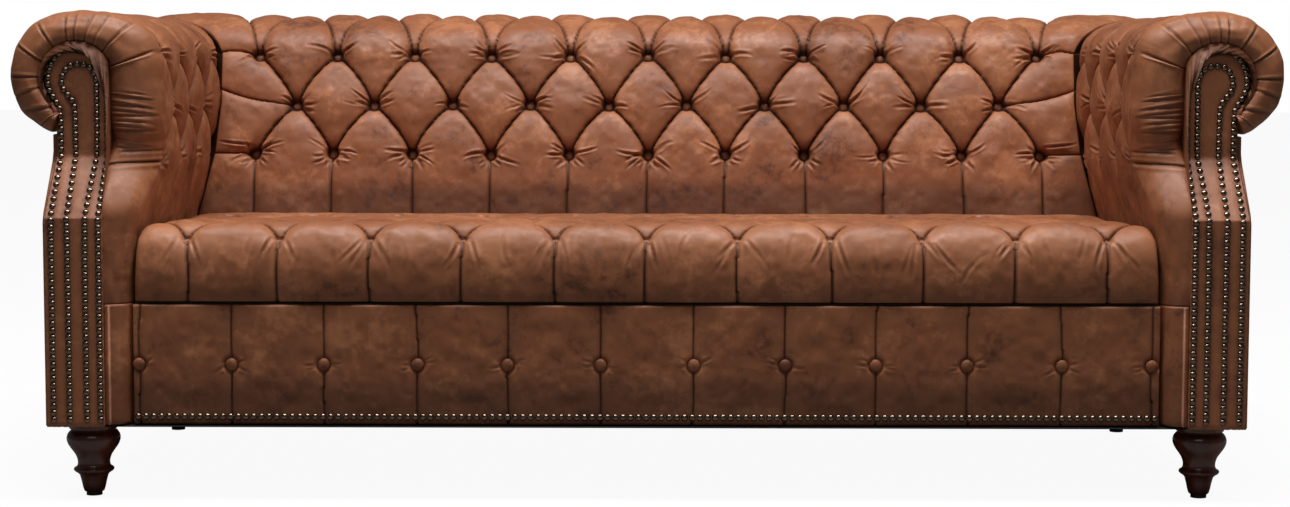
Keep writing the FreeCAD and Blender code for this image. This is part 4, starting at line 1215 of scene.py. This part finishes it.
def scatter_tree(name, uses_icosphere):
    """A tree that sets one domed head on each point, facing the way the point says."""
    tree = bpy.data.node_groups.new(name, "GeometryNodeTree")
    sockets = (("Geometry", "Geometry"), ("Diameter", "Float"), ("Height", "Float"), ("Material", "Material"))
    for title, kind in sockets:
        tree.interface.new_socket(title, in_out="INPUT", socket_type="NodeSocket" + kind)
    tree.interface.new_socket("Geometry", in_out="OUTPUT", socket_type="NodeSocketGeometry")
    given, out = tree.nodes.new("NodeGroupInput"), tree.nodes.new("NodeGroupOutput")
    geometry, diameter, height, material = (given.outputs[title] for title, _ in sockets)
    if uses_icosphere:
        head = add_node(tree, "GeometryNodeMeshIcoSphere", {"Subdivisions": 2, "Radius": 0.5})
    else:
        head = add_node(tree, "GeometryNodeMeshUVSphere", {"Segments": 24, "Rings": 14, "Radius": 0.5})
    scale = add_node(tree, "ShaderNodeCombineXYZ", {0: diameter, 1: diameter, 2: height}).outputs[0]
    shape = add_node(tree, "GeometryNodeTransform", {"Geometry": head.outputs["Mesh"], "Scale": scale})
    smooth = add_node(tree, "GeometryNodeSetShadeSmooth", {"Geometry": shape.outputs[0]}).outputs[0]
    facing = add_node(tree, "GeometryNodeInputNamedAttribute", {"Name": "facing"}, data_type="FLOAT_VECTOR")
    way = {"Vector": facing.outputs["Attribute"]}
    turn = add_node(tree, "FunctionNodeAlignRotationToVector", way, axis="Z").outputs[0]
    points = add_node(
        tree, "GeometryNodeInstanceOnPoints", {"Points": geometry, "Instance": smooth, "Rotation": turn}
    )
    real = add_node(tree, "GeometryNodeRealizeInstances", {0: points.outputs[0]}).outputs[0]
    paint = add_node(tree, "GeometryNodeSetMaterial", {"Geometry": real, "Material": material})
    link(tree, paint.outputs[0], out.inputs[0])
    return tree


def scatter(name, frames, diameter, height, material, icosphere):
    """One mesh of like heads; diameter and height are in metres, frames in millimetres."""
    title = "domed_nails" if icosphere else "covered_buttons"
    tree = bpy.data.node_groups.get(title) or scatter_tree(title, icosphere)
    mesh = bpy.data.meshes.new(name + "_points")
    mesh.from_pydata([tuple(p * MM) for p, _ in frames], [], [])
    attribute = mesh.attributes.new("facing", "FLOAT_VECTOR", "POINT")
    attribute.data.foreach_set("vector", np.array([n for _, n in frames], np.float32).ravel())
    holder = in_scene(name + "_holder", mesh)
    modifier = holder.modifiers.new("heads", "NODES")
    modifier.node_group = tree
    values = {"Diameter": diameter, "Height": height, "Material": material}
    for item in tree.interface.items_tree:
        if item.in_out == "INPUT" and item.name in values:
            modifier[item.identifier] = values[item.name]
    bpy.context.view_layer.update()
    graph = bpy.context.evaluated_depsgraph_get()
    result = bpy.data.meshes.new_from_object(holder.evaluated_get(graph))
    result.name = name
    bpy.data.objects.remove(holder)
    bpy.data.meshes.remove(mesh)
    return in_scene(name, result)


# ---------------------------------------------------------------- facings, border, panels and legs


# The two rows of nails, as distance from the sofa's middle and height
OUTER_NAILS = [
    (962, 134), (962, 462), (962, 575), (962, 635), (968.5, 646), (975, 656), (981, 668), (983, 679),
    (982, 692), (979, 703), (975, 713), (969, 722), (960, 730), (949, 735), (935, 737), (921, 735),
    (908, 729), (898, 719), (891, 706), (887.5, 690), (886, 672), (886, 620), (886, 575), (886, 462),
    (886, 134),
]
INNER_NAILS = [
    (936, 134), (936, 462), (938.5, 575), (938.5, 630), (940, 645), (948, 657), (957, 667), (960.5, 679),
    (958, 692), (952, 703), (943, 709), (930, 711), (917, 708), (908, 700), (904, 690), (902, 678),
    (902, 660), (902.5, 640), (902.5, 575), (908, 462), (908, 134),
]


def facing_outline():
    """Inner and outer edge of the scroll board, as height and distance from the sofa's middle."""
    head = (HALF_WIDTH - HEAD_CENTRE[0], HEAD_CENTRE[1])

    def rim(angle):
        t = math.radians(angle)
        return head[1] + HEAD_RADIUS * math.sin(t), head[0] + HEAD_RADIUS * math.cos(t)

    outer = [(FRAME_BASE, 974.0), (FACING_BREAK, 974.0), (628.0, 968.0), (636.0, 969.3), (645.0, 973.0)]
    outer += [rim(angle) for angle in (-38.0, *range(-30, 91, 6))]
    inner = [(FRAME_BASE, 880.0), (head[1], 880.0)] + [rim(angle) for angle in range(174, 89, -6)]
    return inner, outer


def smoothed(line):
    """The line with its corners cut off twice."""
    line = np.array(line, float)
    for _ in range(2):
        middle = (line[:-1] * 0.75 + line[1:] * 0.25, line[:-1] * 0.25 + line[1:] * 0.75)
        line = np.concatenate([line[:1], np.stack(middle, 1).reshape(-1, 2), line[-1:]])
    return line


def even_points(line, pitch):
    """Evenly spaced places along a line, from end to end."""
    run = np.concatenate([[0], np.cumsum(np.hypot(*np.diff(line, axis=0).T))])
    wanted = np.linspace(0, run[-1], int(round(run[-1] / pitch)) + 1)
    return np.stack([np.interp(wanted, run, line[:, 0]), np.interp(wanted, run, line[:, 1])], axis=1)


def distance_to(x, z, line):
    """Distance from each place to a line of points."""
    dense = []
    for a, b in zip(line[:-1], line[1:]):
        for t in np.linspace(0, 1, max(2, int(math.dist(a, b) / 4)), endpoint=False):
            dense.append((a[0] + (b[0] - a[0]) * t, a[1] + (b[1] - a[1]) * t))
    dense = np.array(dense + [tuple(line[-1])])
    flat = np.stack([x.ravel(), z.ravel()], axis=1)
    best = np.full(len(flat), 1e9)
    for start in range(0, len(dense), 64):
        part = dense[start : start + 64]
        away = np.hypot(flat[:, :1] - part[None, :, 0], flat[:, 1:] - part[None, :, 1])
        best = np.minimum(best, away.min(1))
    return best.reshape(x.shape)


def facing_surface(x, z, outline, near, seed):
    """How far the facing's leather stands in front of its lowest place."""
    edge = distance_to(x, z, outline)
    round_over = np.sqrt(np.clip(1 - (1 - np.minimum(edge / 4.5, 1)) ** 2, 0, 1))
    puff = np.minimum(near / 9.0, 1.0) ** 0.7
    return 4.5 * round_over + 2.2 * puff * round_over + 0.5 * uneven(x, z, 30.0, seed) * round_over


def build_facing(side, name, trim):
    """One scroll facing, with the places of its nail heads."""
    inner, outer = facing_outline()
    top = HEAD_CENTRE[1] + HEAD_RADIUS
    levels = np.concatenate([
        np.arange(FRAME_BASE, FACING_BREAK - 6, 5.0), np.arange(FACING_BREAK - 6, FACING_BREAK + 8, 1.4),
        np.arange(FACING_BREAK + 9, 690.0, 4.0),
        690 + (top - 690.2) * np.sin(np.linspace(0, math.pi / 2, 22)),
    ])
    low = np.interp(levels, [p[0] for p in inner], [p[1] for p in inner])
    high = np.interp(levels, [p[0] for p in outer], [p[1] for p in outer])
    share = 0.5 - 0.5 * np.cos(np.linspace(0, math.pi, 35))
    share = 0.35 * share + 0.65 * np.linspace(0, 1, 35)
    share = np.concatenate([[0, 0.008, 0.022], share[1:-1], [0.978, 0.992, 1]])
    x = low[:, None] + (high - low)[:, None] * share[None, :]
    z = np.repeat(levels[:, None], len(share), axis=1)
    outline = np.array([(v, u) for u, v in inner] + [(v, u) for u, v in reversed(outer)])
    outline = np.concatenate([outline, outline[:1]])
    nails = [smoothed(OUTER_NAILS), smoothed(INNER_NAILS)]
    near = np.minimum(distance_to(x, z, nails[0]), distance_to(x, z, nails[1]))
    stand = facing_surface(x, z, outline, near, settings().seed + (3 if side > 0 else 4))
    crest = np.maximum(facing_front(z), -HALF_DEPTH)
    y = crest + 5.4 - stand
    front = np.stack([side * x.ravel(), y.ravel(), z.ravel()], axis=1)
    back = np.stack([side * x.ravel(), (crest + 9.8).ravel(), z.ravel()], axis=1)
    # Painted shade round the nails where the leather is drawn in, and painted highlight, partly wear, on the
    # puffs between them.
    hollow = 0.62 * bell(near / 7.0) + 0.18
    worn = np.clip(smooth_step((near - 6) / 6) * 0.45, 0, 1)
    masks = {"hollow": np.concatenate([hollow.ravel()] * 2), "line": np.zeros(x.size * 2),
             "worn": np.concatenate([worn.ravel()] * 2)}
    made = add_mesh(name + "_facing", np.concatenate([front, back]), board_faces(*x.shape), masks)
    heads = []
    for line in nails:
        for px, pz in even_points(line, trim.nail_pitch / MM):
            lean = np.array([0.0, -1.0, 0.0])
            if FACING_BREAK < pz < FACING_BEND:
                lean = np.array([0.0, -98.0, 80.0]) / math.hypot(98, 80)
            py = float(facing_front(pz)) + 5.4 - 4.5
            heads.append((np.array([side * px, py, pz]) + lean * 0.4, lean))
    return made, heads


def build_border():
    """The front border with its upright pleats and shallow swells."""
    height = BORDER_TOP - BORDER_BASE
    level = height / 2
    quick = coarser()
    rows = mesh_rows(height, [level], 2.0 * quick, 4.0 * quick)
    seed = settings().seed + 120
    sheet = Sheet(
        Line([(0, 0), (0, height)], 1.0), rows, -BORDER_HALF, BORDER_HALF,
        lambda r: -BORDER_HALF + 0 * r, lambda r: BORDER_HALF + 0 * r, (0, 0)
    )
    random = np.random.default_rng(seed)
    buttons = []
    for p in [PITCH * (k - 5.5) for k in range(12)]:
        sway = loose(random, 2.5)
        t = np.linspace(0, 1, 400)
        run = height * t
        along = p + sway * np.sin(math.pi * t) + 1.0 * np.sin(9 * t + p)
        sunk = 4.5 + 4.5 * bell((run - level) / 13.0)
        sheet.crease(np.stack([along, run, sunk], axis=1))
        buttons.append((p + sway, level))
    sheet.hold("lower", 2.0)
    sheet.hold("upper", 3.5)
    sheet.fill(BORDER_LOAD, 0.45, seed + 1)
    sheet.depth = np.clip(sheet.depth, -0.5, 14)
    sheet.slit = sheet.fixed & (sheet.sunk > 4.2)
    for p, _ in buttons:
        for side in (0, math.pi):
            for _ in range(2):
                sheet.press(p, level, side + loose(random, 0.5), random.uniform(14, 26), 1.0, 2.0, start=10)
    sheet.dimple(buttons, 9.0, 9.5)
    # Painted shade: the border is drawn darker towards the floor.
    painted_shade = 0.80 * smooth_step((165.0 - sheet.s) / 125.0)
    u, y, z = sheet.u, BORDER_FRONT + sheet.depth, BORDER_BASE + sheet.s
    n, cols = y.shape
    corners = [np.stack([u.ravel(), y.ravel(), z.ravel()], axis=1)]
    for level_behind in (BORDER_TOP, BORDER_BASE):
        behind = [u[0], np.full(cols, BORDER_FRONT + 21.9), np.full(cols, level_behind)]
        corners.append(np.stack(behind, axis=1))
    index = np.arange((n + 2) * cols).reshape(n + 2, cols)
    faces = [grid_faces(sheet.depth, sheet.slit, 0)]
    for one, two in ((n - 1, n), (n, n + 1), (n + 1, 0)):
        faces += bridge(index[one], index[two])
    for end, flip in ((0, 1), (cols - 1, -1)):
        faces.append(zip_strip(index[:n, end], index[n:, end][::-1], flip))
    hollow = np.clip(np.maximum(sheet.depth / 22, painted_shade), 0, 1)
    # The pleats' dark lines are painted shade.
    masks = masks_of(hollow, sheet.slit.astype(float) * 0.8, np.clip(sheet.worn, 0, 1), 2 * cols, 0.5)
    made = add_mesh("front_border", np.concatenate(corners), np.concatenate(faces), masks)
    forward = np.array([0.0, -1.0, 0.0])
    frames = [(np.array([p, BORDER_FRONT + 6.5, BORDER_BASE + level]), forward) for p, _ in buttons]
    return made, frames


def build_corner(side, name):
    """The leather wrapped round the upright corner between border and facing."""
    levels = np.arange(BORDER_BASE, 321.6, 3.5)
    levels[-1] = 321.4
    section = [(880.0 - t, -442.0) for t in np.linspace(0, 8, 4)]
    for t in np.linspace(0, 90, 16):
        angle = math.radians(t)
        section.append((872.0 - 34 * math.sin(angle), -442.0 + 40 * (1 - math.cos(angle))))
    section += [(838.0, -408.5), (879.5, -408.5)]
    section = np.array(section)
    rings = []
    for z in levels:
        ring = section.copy()
        swell = 0.8 * uneven(np.full(len(ring), z), ring[:, 0] * 2, 40.0, 55)
        ring[1:-2, 1] += swell[1:-2] - 0.8
        tuck = 2.5 * math.exp(-((z - BORDER_BASE) / 5.0))
        ring[1:-2, 1] += tuck
        rings.append(np.stack([side * ring[:, 0], ring[:, 1], np.full(len(ring), z)], axis=1))
    corners = np.concatenate(rings)
    count = len(section)
    # Painted shade where the corner turns away and towards the floor, and a painted highlight strip, partly
    # wear, down its front.
    hollow = np.tile(np.clip(np.abs(np.linspace(0, 1, count) - 0.12) * 0.55, 0, 1), len(levels))
    hollow = np.maximum(hollow, 0.72 * smooth_step((300.0 - np.repeat(levels, count)) / 110.0))
    worn = np.tile(0.35 * bell((np.linspace(0, 1, count) - 0.10) / 0.12), len(levels))
    masks = {"hollow": hollow, "line": 0 * hollow, "worn": worn}
    return add_mesh(name + "_arm_corner", corners, tube_faces(len(levels), count), masks)


def rounded_panel(name, low, high, round_by, face_axis, sign, seed, outline=None):
    """A covered panel: a board with padded, slightly slack leather and rounded edges."""
    low, high = np.array(low, float), np.array(high, float)
    axes = [i for i in range(3) if i != face_axis]
    sizes = [high[i] - low[i] for i in axes]

    def stations(size):
        fine = np.array([0, 0.6, 1.6, 3.2, 6.0])
        return np.concatenate([fine, np.linspace(12, size - 12, max(3, int(size / 16))), size - fine[::-1]])

    s, t = np.meshgrid(stations(sizes[0]), stations(sizes[1]), indexing="ij")
    edge = np.minimum.reduce([s, sizes[0] - s, t, sizes[1] - t])
    stand = np.sqrt(np.clip(1 - (1 - np.minimum(edge / round_by, 1)) ** 2, 0, 1))
    thick = high[face_axis] - low[face_axis]
    slack = 1.3 * uneven(s, t, 90.0, seed) * np.minimum(edge / 40.0, 1)
    out = (thick - round_by) + round_by * stand + slack - 1.3 * np.minimum(edge / 40, 1)
    front = np.zeros(s.shape + (3,))
    front[..., axes[0]] = low[axes[0]] + s
    front[..., axes[1]] = low[axes[1]] + t
    back = front.copy()
    base = low[face_axis] if sign > 0 else high[face_axis]
    front[..., face_axis] = base + sign * out
    back[..., face_axis] = base
    if outline is not None:
        front, back = outline(front), outline(back)
    nothing = np.zeros(s.shape)
    # Painted shade along the panel's rounded edges.
    masks = masks_of(0.35 * (1 - stand), nothing, nothing, s.size, 0.5)
    corners = np.concatenate([front.reshape(-1, 3), back.reshape(-1, 3)])
    return add_mesh(name, corners, board_faces(*s.shape), masks)


def build_outside_arm(side, name):
    """The panel outside one arm, whose front edge follows the facing."""
    near, rear = -440.0, 378.0

    def lean(points):
        start = facing_front(points[..., 2]) + 10.0
        share = (points[..., 1] - near) / (rear - near)
        points = points.copy()
        points[..., 1] = start + (rear - start) * share
        return points

    x0, x1 = sorted((side * 970.0, side * 978.0))
    return rounded_panel(
        name + "_outside_arm", (x0, near, FRAME_BASE), (x1, rear, PANEL_TOP), 3.0, 0, side, 201 + side, lean
    )


# A leg's turned outline, as radius and height
LEG_PROFILE = [
    (0.0, 6.0), (14.5, 6.0), (16.5, 7.6), (18.5, 14.0), (20.6, 24.0), (23.2, 34.0), (26.5, 37.5),
    (30.6, 40.0), (32.6, 42.0), (33.0, 43.8), (32.0, 45.8), (29.2, 47.4), (27.2, 49.5), (26.2, 53.0),
    (26.2, 57.0), (27.2, 62.0), (29.6, 68.0), (33.6, 74.0), (38.0, 80.0), (41.6, 86.0), (43.6, 92.0),
    (43.8, 97.0), (42.4, 102.0), (39.4, 106.4), (37.0, 108.4), (36.2, 109.6), (37.2, 111.0),
    (39.2, 112.0), (39.5, 113.5), (39.5, 119.0), (0.0, 119.0),
]


def build_legs(name, places, profile, segments=48):
    """Turned legs at their places, as one mesh."""
    corners, faces = [], []
    for x, y in places:
        first = len(corners)
        rings = [p for p in profile if p[0] > 0]
        corners.append((x, y, profile[0][1]))
        corners.append((x, y, profile[-1][1]))
        for radius, z in rings:
            for k in range(segments):
                t = 2 * math.pi * k / segments
                corners.append((x + radius * math.cos(t), y + radius * math.sin(t), z))
        start = first + 2
        for r in range(len(rings) - 1):
            for k in range(segments):
                a, b = start + r * segments + k, start + r * segments + (k + 1) % segments
                faces += [(a, b, b + segments), (a, b + segments, a + segments)]
        last = start + (len(rings) - 1) * segments
        for k in range(segments):
            faces.append((first, start + (k + 1) % segments, start + k))
            faces.append((first + 1, last + k, last + (k + 1) % segments))
    made = add_mesh(name, corners, faces)
    made.data.set_sharp_from_angle(angle=math.radians(50))
    return made


# ---------------------------------------------------------------- operators


def finish_pad(made, node, fill):
    """Finishes a padded piece in the tufted leather."""
    finish_piece(made, leather("tufted_leather"), "leather_pads", node, padded=fill)


def finish_panel(made, node):
    """Finishes a flat piece in the smoother leather."""
    finish_piece(made, leather("panel_leather", tone=-0.06), "leather_panels", node)


def set_buttons(name, node, frames, width, height=BUTTON_HEIGHT):
    """Leather-covered buttons on their places."""
    material = leather("button_leather", tone=-0.30, masks=False)
    finish_piece(scatter(name, frames, width, height, material, False), material, "leather_buttons", node)


def set_nails(name, heads, trim):
    """Domed nails on their places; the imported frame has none."""
    colour = tuple(trim.nail_colour)
    metal = plain_material("antique_nail", colour, 0.17, metallic=1.0, scale=300.0, contrast=0.35)
    made = scatter(name, heads, trim.nail_width, trim.nail_width * NAIL_DOME, metal, True)
    finish_piece(made, metal, "steel_fittings")


class SofaPiece:
    bl_options = {"REGISTER", "UNDO"}


class SOFA_OT_back(SofaPiece, bpy.types.Operator):
    """Makes the buttoned inside back with its buttons"""
    bl_idname = "sofa.back"
    bl_label = "Inside Back"

    def execute(self, context):
        made, frames = build_back()
        finish_pad(made, "inside_back_pad", 0.85)
        set_buttons("inside_back_button_set", "inside_back_buttons", frames, settings().button_width)
        return {"FINISHED"}


class SOFA_OT_arms(SofaPiece, bpy.types.Operator):
    """Makes both rolled arms with their buttons"""
    bl_idname = "sofa.arms"
    bl_label = "Rolled Arms"

    def execute(self, context):
        for side, name in SIDES:
            made, frames = build_arm(side, name)
            finish_pad(made, name + "_arm_pad", 0.85)
            set_buttons(name + "_arm_button_set", name + "_arm_buttons", frames, settings().button_width)
        return {"FINISHED"}


class SOFA_OT_seat(SofaPiece, bpy.types.Operator):
    """Makes the buttoned bench seat with its buttons"""
    bl_idname = "sofa.seat"
    bl_label = "Bench Seat"

    def execute(self, context):
        made, frames = build_seat()
        finish_pad(made, "seat_pad", 0.8)
        set_buttons("seat_button_set", "seat_buttons", frames, settings().button_width)
        return {"FINISHED"}


class SOFA_OT_border(SofaPiece, bpy.types.Operator):
    """Makes the front border, its buttons and the nails along its foot"""
    bl_idname = "sofa.border"
    bl_label = "Front Border"

    def execute(self, context):
        made, frames = build_border()
        finish_pad(made, "front_border_pad", 0.5)
        width = settings().border_button_width
        set_buttons("border_button_set", "border_buttons", frames, width, BORDER_BUTTON_HEIGHT)
        trim = context.scene.sofa_trim
        count = int(round(1660.0 / (trim.border_nail_pitch / MM)))
        forward = np.array([0.0, -1.0, 0.0])
        heads = [(np.array([x, -429.3, 137.0]), forward) for x in np.linspace(-829.0, 829.0, count)]
        set_nails("border_nails", heads, trim)
        return {"FINISHED"}


class SOFA_OT_facings(SofaPiece, bpy.types.Operator):
    """Makes the scroll facings with their two loops of nails, and the corners beside them"""
    bl_idname = "sofa.facings"
    bl_label = "Arm Facings"

    def execute(self, context):
        trim = context.scene.sofa_trim
        for side, name in SIDES:
            made, heads = build_facing(side, name, trim)
            finish_panel(made, name + "_arm_facing")
            set_nails(name + "_facing_nails", heads, trim)
            finish_pad(build_corner(side, name), name + "_arm_corner_pad", 0.6)
        return {"FINISHED"}


class SOFA_OT_panels(SofaPiece, bpy.types.Operator):
    """Makes the covered panels outside the arms and the back"""
    bl_idname = "sofa.panels"
    bl_label = "Outside Panels"

    def execute(self, context):
        for side, name in SIDES:
            finish_panel(build_outside_arm(side, name), name + "_outside_arm_panel")
        made = rounded_panel(
            "outside_back", (-970.0, 370.0, FRAME_BASE), (970.0, 378.0, PANEL_TOP), 3.0, 1, 1, 211
        )
        finish_panel(made, "outside_back_panel")
        return {"FINISHED"}


class SOFA_OT_legs(SofaPiece, bpy.types.Operator):
    """Makes the turned legs"""
    bl_idname = "sofa.legs"
    bl_label = "Turned Legs"

    def execute(self, context):
        colour = tuple(context.scene.sofa_trim.wood_colour)
        wood = plain_material(
            "polished_wood", colour, 0.32, scale=26.0, contrast=0.45, coat=0.7, stretch=(1.0, 1.0, 0.12)
        )
        for name, y in (("front", -384.0), ("rear", 325.0)):
            made = build_legs(name + "_turned_legs", [(-913.0, y), (913.0, y)], LEG_PROFILE)
            finish_piece(made, wood, "turned_wood", name + "_legs")
        return {"FINISHED"}


class SOFA_OT_frame(SofaPiece, bpy.types.Operator):
    """Gives the timber, webbing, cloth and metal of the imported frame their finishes"""
    bl_idname = "sofa.frame"
    bl_label = "Frame Finishes"

    def execute(self, context):
        finishes = {
            "frame_wood": plain_material(
                "planed_wood", (0.48, 0.34, 0.20), 0.6, scale=22.0, contrast=0.3,
                stretch=(0.15, 1.0, 1.0), height=0.0005
            ),
            "steel_fittings": plain_material(
                "zinc_steel", (0.55, 0.55, 0.56), 0.35, metallic=1.0, scale=120.0, contrast=0.15
            ),
            "glides": plain_material("black_nylon", (0.030, 0.030, 0.032), 0.5, scale=200.0, contrast=0.3),
            "webbing": woven("jute_webbing", (0.34, 0.27, 0.16), 60.0),
            "deck_cloth": woven("calico", (0.60, 0.55, 0.45), 160.0),
            "dust_cloth": woven("black_cambric", (0.030, 0.030, 0.032), 140.0, rough=0.95),
        }
        given = {row["node"]: row["material_slot"] for row in frame["record"]["subparts"]}
        for name, node in frame["nodes"].items():
            material = finishes.get(given.get(name))
            if material and not node.hide_render:
                node.data.materials.clear()
                node.data.materials.append(material)
        edge_roll_piece(finishes["deck_cloth"])
        return {"FINISHED"}


def edge_roll_piece(material):
    """The firm edge roll under the front of the seat."""
    near, far, base, top = -360.0, -328.0, DECK, 356.0
    middle = (near + far) / 2
    section = []
    for t in np.linspace(-90, 270, 24, endpoint=False):
        c, s = math.cos(math.radians(t)), math.sin(math.radians(t))
        y = middle + 16 * math.copysign(abs(c) ** 0.7, c)
        z = (base + top) / 2 + 17 * math.copysign(abs(s) ** 0.7, s)
        section.append((y, z))
    rings = []
    xs = np.linspace(-BORDER_HALF, BORDER_HALF, 60)
    for i, x in enumerate(xs):
        shrink = 1 - 0.25 * max(0, 1 - min(i, len(xs) - 1 - i) / 1.5)
        rings.append([(x, middle + (y - middle) * shrink, base + (z - base) * shrink) for y, z in section])
    corners = np.array(rings).reshape(-1, 3)
    made = add_mesh("seat_edge_roll_cover", corners, tube_faces(len(xs), len(section)))
    return finish_piece(made, material, "deck_cloth", "seat_edge_roll", padded=0.9)


class SOFA_OT_studio(SofaPiece, bpy.types.Operator):
    """Makes the floor, the backdrop, the lights and the camera"""
    bl_idname = "sofa.studio"
    bl_label = "Studio"

    def execute(self, context):
        studio = context.scene.sofa_studio
        size = 30.0
        corners = [(-size, -size, 0), (size, -size, 0), (size, size, 0), (-size, size, 0)]
        mesh = bpy.data.meshes.new("floor")
        mesh.from_pydata(corners, [], [(0, 1, 2, 3)])
        floor = in_scene("floor", mesh)
        mesh.materials.append(floor_material())
        lamps = [
            ("key", (0.0, -0.95, 4.6), (0.0, -0.05, 0.45), 4.6, 1.4, studio.key),
            ("front", (-0.5, -5.0, 3.7), (0.0, 0.0, 0.45), 3.0, 1.2, studio.front),
        ]
        for name, place, target, wide, deep, power in lamps:
            light = bpy.data.lights.new(name, "AREA")
            light.shape, light.size, light.size_y, light.energy = "RECTANGLE", wide, deep, power
            lamp = in_scene(name, light)
            lamp.location = place
            direction = Vector(target) - Vector(place)
            lamp.rotation_euler = direction.to_track_quat("-Z", "Y").to_euler()
        world = bpy.data.worlds.new("surroundings")
        tree = cleared(world)
        path = tree.nodes.new("ShaderNodeLightPath")
        seen = math_node(tree, "MAXIMUM", path.outputs["Is Camera Ray"], path.outputs["Is Transmission Ray"])
        strength = math_node(tree, "MAXIMUM", seen, studio.world)
        back = add_node(tree, "ShaderNodeBackground", {"Color": WHITE, "Strength": strength})
        add_node(tree, "ShaderNodeOutputWorld", {0: back.outputs[0]})
        context.scene.world = world
        camera = bpy.data.cameras.new("camera")
        camera.lens, camera.sensor_width = SENSOR_WIDTH * FOCAL_PIXELS / PHOTO_PIXELS, SENSOR_WIDTH
        eye = in_scene("camera", camera)
        turn = Matrix.Rotation(CAMERA_YAW, 4, "Z") @ Matrix.Rotation(math.pi / 2 - CAMERA_PITCH, 4, "X")
        turn = turn @ Matrix.Rotation(CAMERA_ROLL, 4, "Z")
        eye.matrix_world = Matrix.Translation(CAMERA_PLACE) @ turn
        camera.clip_start, camera.clip_end = 0.05, 200.0
        context.scene.camera = eye
        context.scene.view_settings.view_transform = "Standard"
        return {"FINISHED"}


def floor_material():
    """A pale floor that looks white to the camera and still takes a soft shadow."""
    material = bpy.data.materials.new("studio_floor")
    tree = cleared(material)
    cloud = noise(tree, object_place(tree), 0.7, 2.0)
    grey = mix(tree, spread(tree, cloud, 0.3, 0.7), (0.88, 0.88, 0.88, 1.0), (0.90, 0.90, 0.90, 1.0))
    matte = add_node(tree, "ShaderNodeBsdfDiffuse", {"Color": grey}).outputs[0]
    white = add_node(tree, "ShaderNodeEmission", {"Color": WHITE, "Strength": 1.0}).outputs[0]
    bounce = add_node(tree, "ShaderNodeBsdfDiffuse", {"Color": FLOOR_BOUNCE}).outputs[0]
    seen = add_node(tree, "ShaderNodeMixShader", {0: FLOOR_WHITENESS, 1: matte, 2: white}).outputs[0]
    camera_ray = tree.nodes.new("ShaderNodeLightPath").outputs["Is Camera Ray"]
    choose = add_node(tree, "ShaderNodeMixShader", {0: camera_ray, 1: bounce, 2: seen})
    add_node(tree, "ShaderNodeOutputMaterial", {0: choose.outputs[0]})
    return material


class SOFA_PT_pieces(bpy.types.Panel):
    bl_idname = "SOFA_PT_pieces"
    bl_label = "Chesterfield Sofa"
    bl_space_type = "VIEW_3D"
    bl_region_type = "UI"
    bl_category = "Sofa"

    def draw(self, context):
        for group in GROUPS:
            held = getattr(context.scene, group)
            box = self.layout.box()
            for key in held.__annotations__:
                box.prop(held, key)
        for piece in PIECES:
            self.layout.operator(piece.bl_idname)


PIECES = (
    SOFA_OT_back, SOFA_OT_arms, SOFA_OT_seat, SOFA_OT_border, SOFA_OT_facings, SOFA_OT_panels, SOFA_OT_legs,
    SOFA_OT_frame, SOFA_OT_studio,
)
GROUPS = {
    "sofa_tufting": SofaTufting, "sofa_leather": SofaLeather,
    "sofa_trim": SofaTrim, "sofa_studio": SofaStudio,
}


def register():
    for name, group in GROUPS.items():
        bpy.utils.register_class(group)
        setattr(bpy.types.Scene, name, PointerProperty(type=group))
    for piece in PIECES + (SOFA_PT_pieces,):
        bpy.utils.register_class(piece)


def unregister():
    for piece in reversed(PIECES + (SOFA_PT_pieces,)):
        bpy.utils.unregister_class(piece)
    for name, group in GROUPS.items():
        delattr(bpy.types.Scene, name)
        bpy.utils.unregister_class(group)


def main():
    register()
    for piece in PIECES:
        area, action = piece.bl_idname.split(".")
        getattr(getattr(bpy.ops, area), action)()


if __name__ == "__main__":
    main()
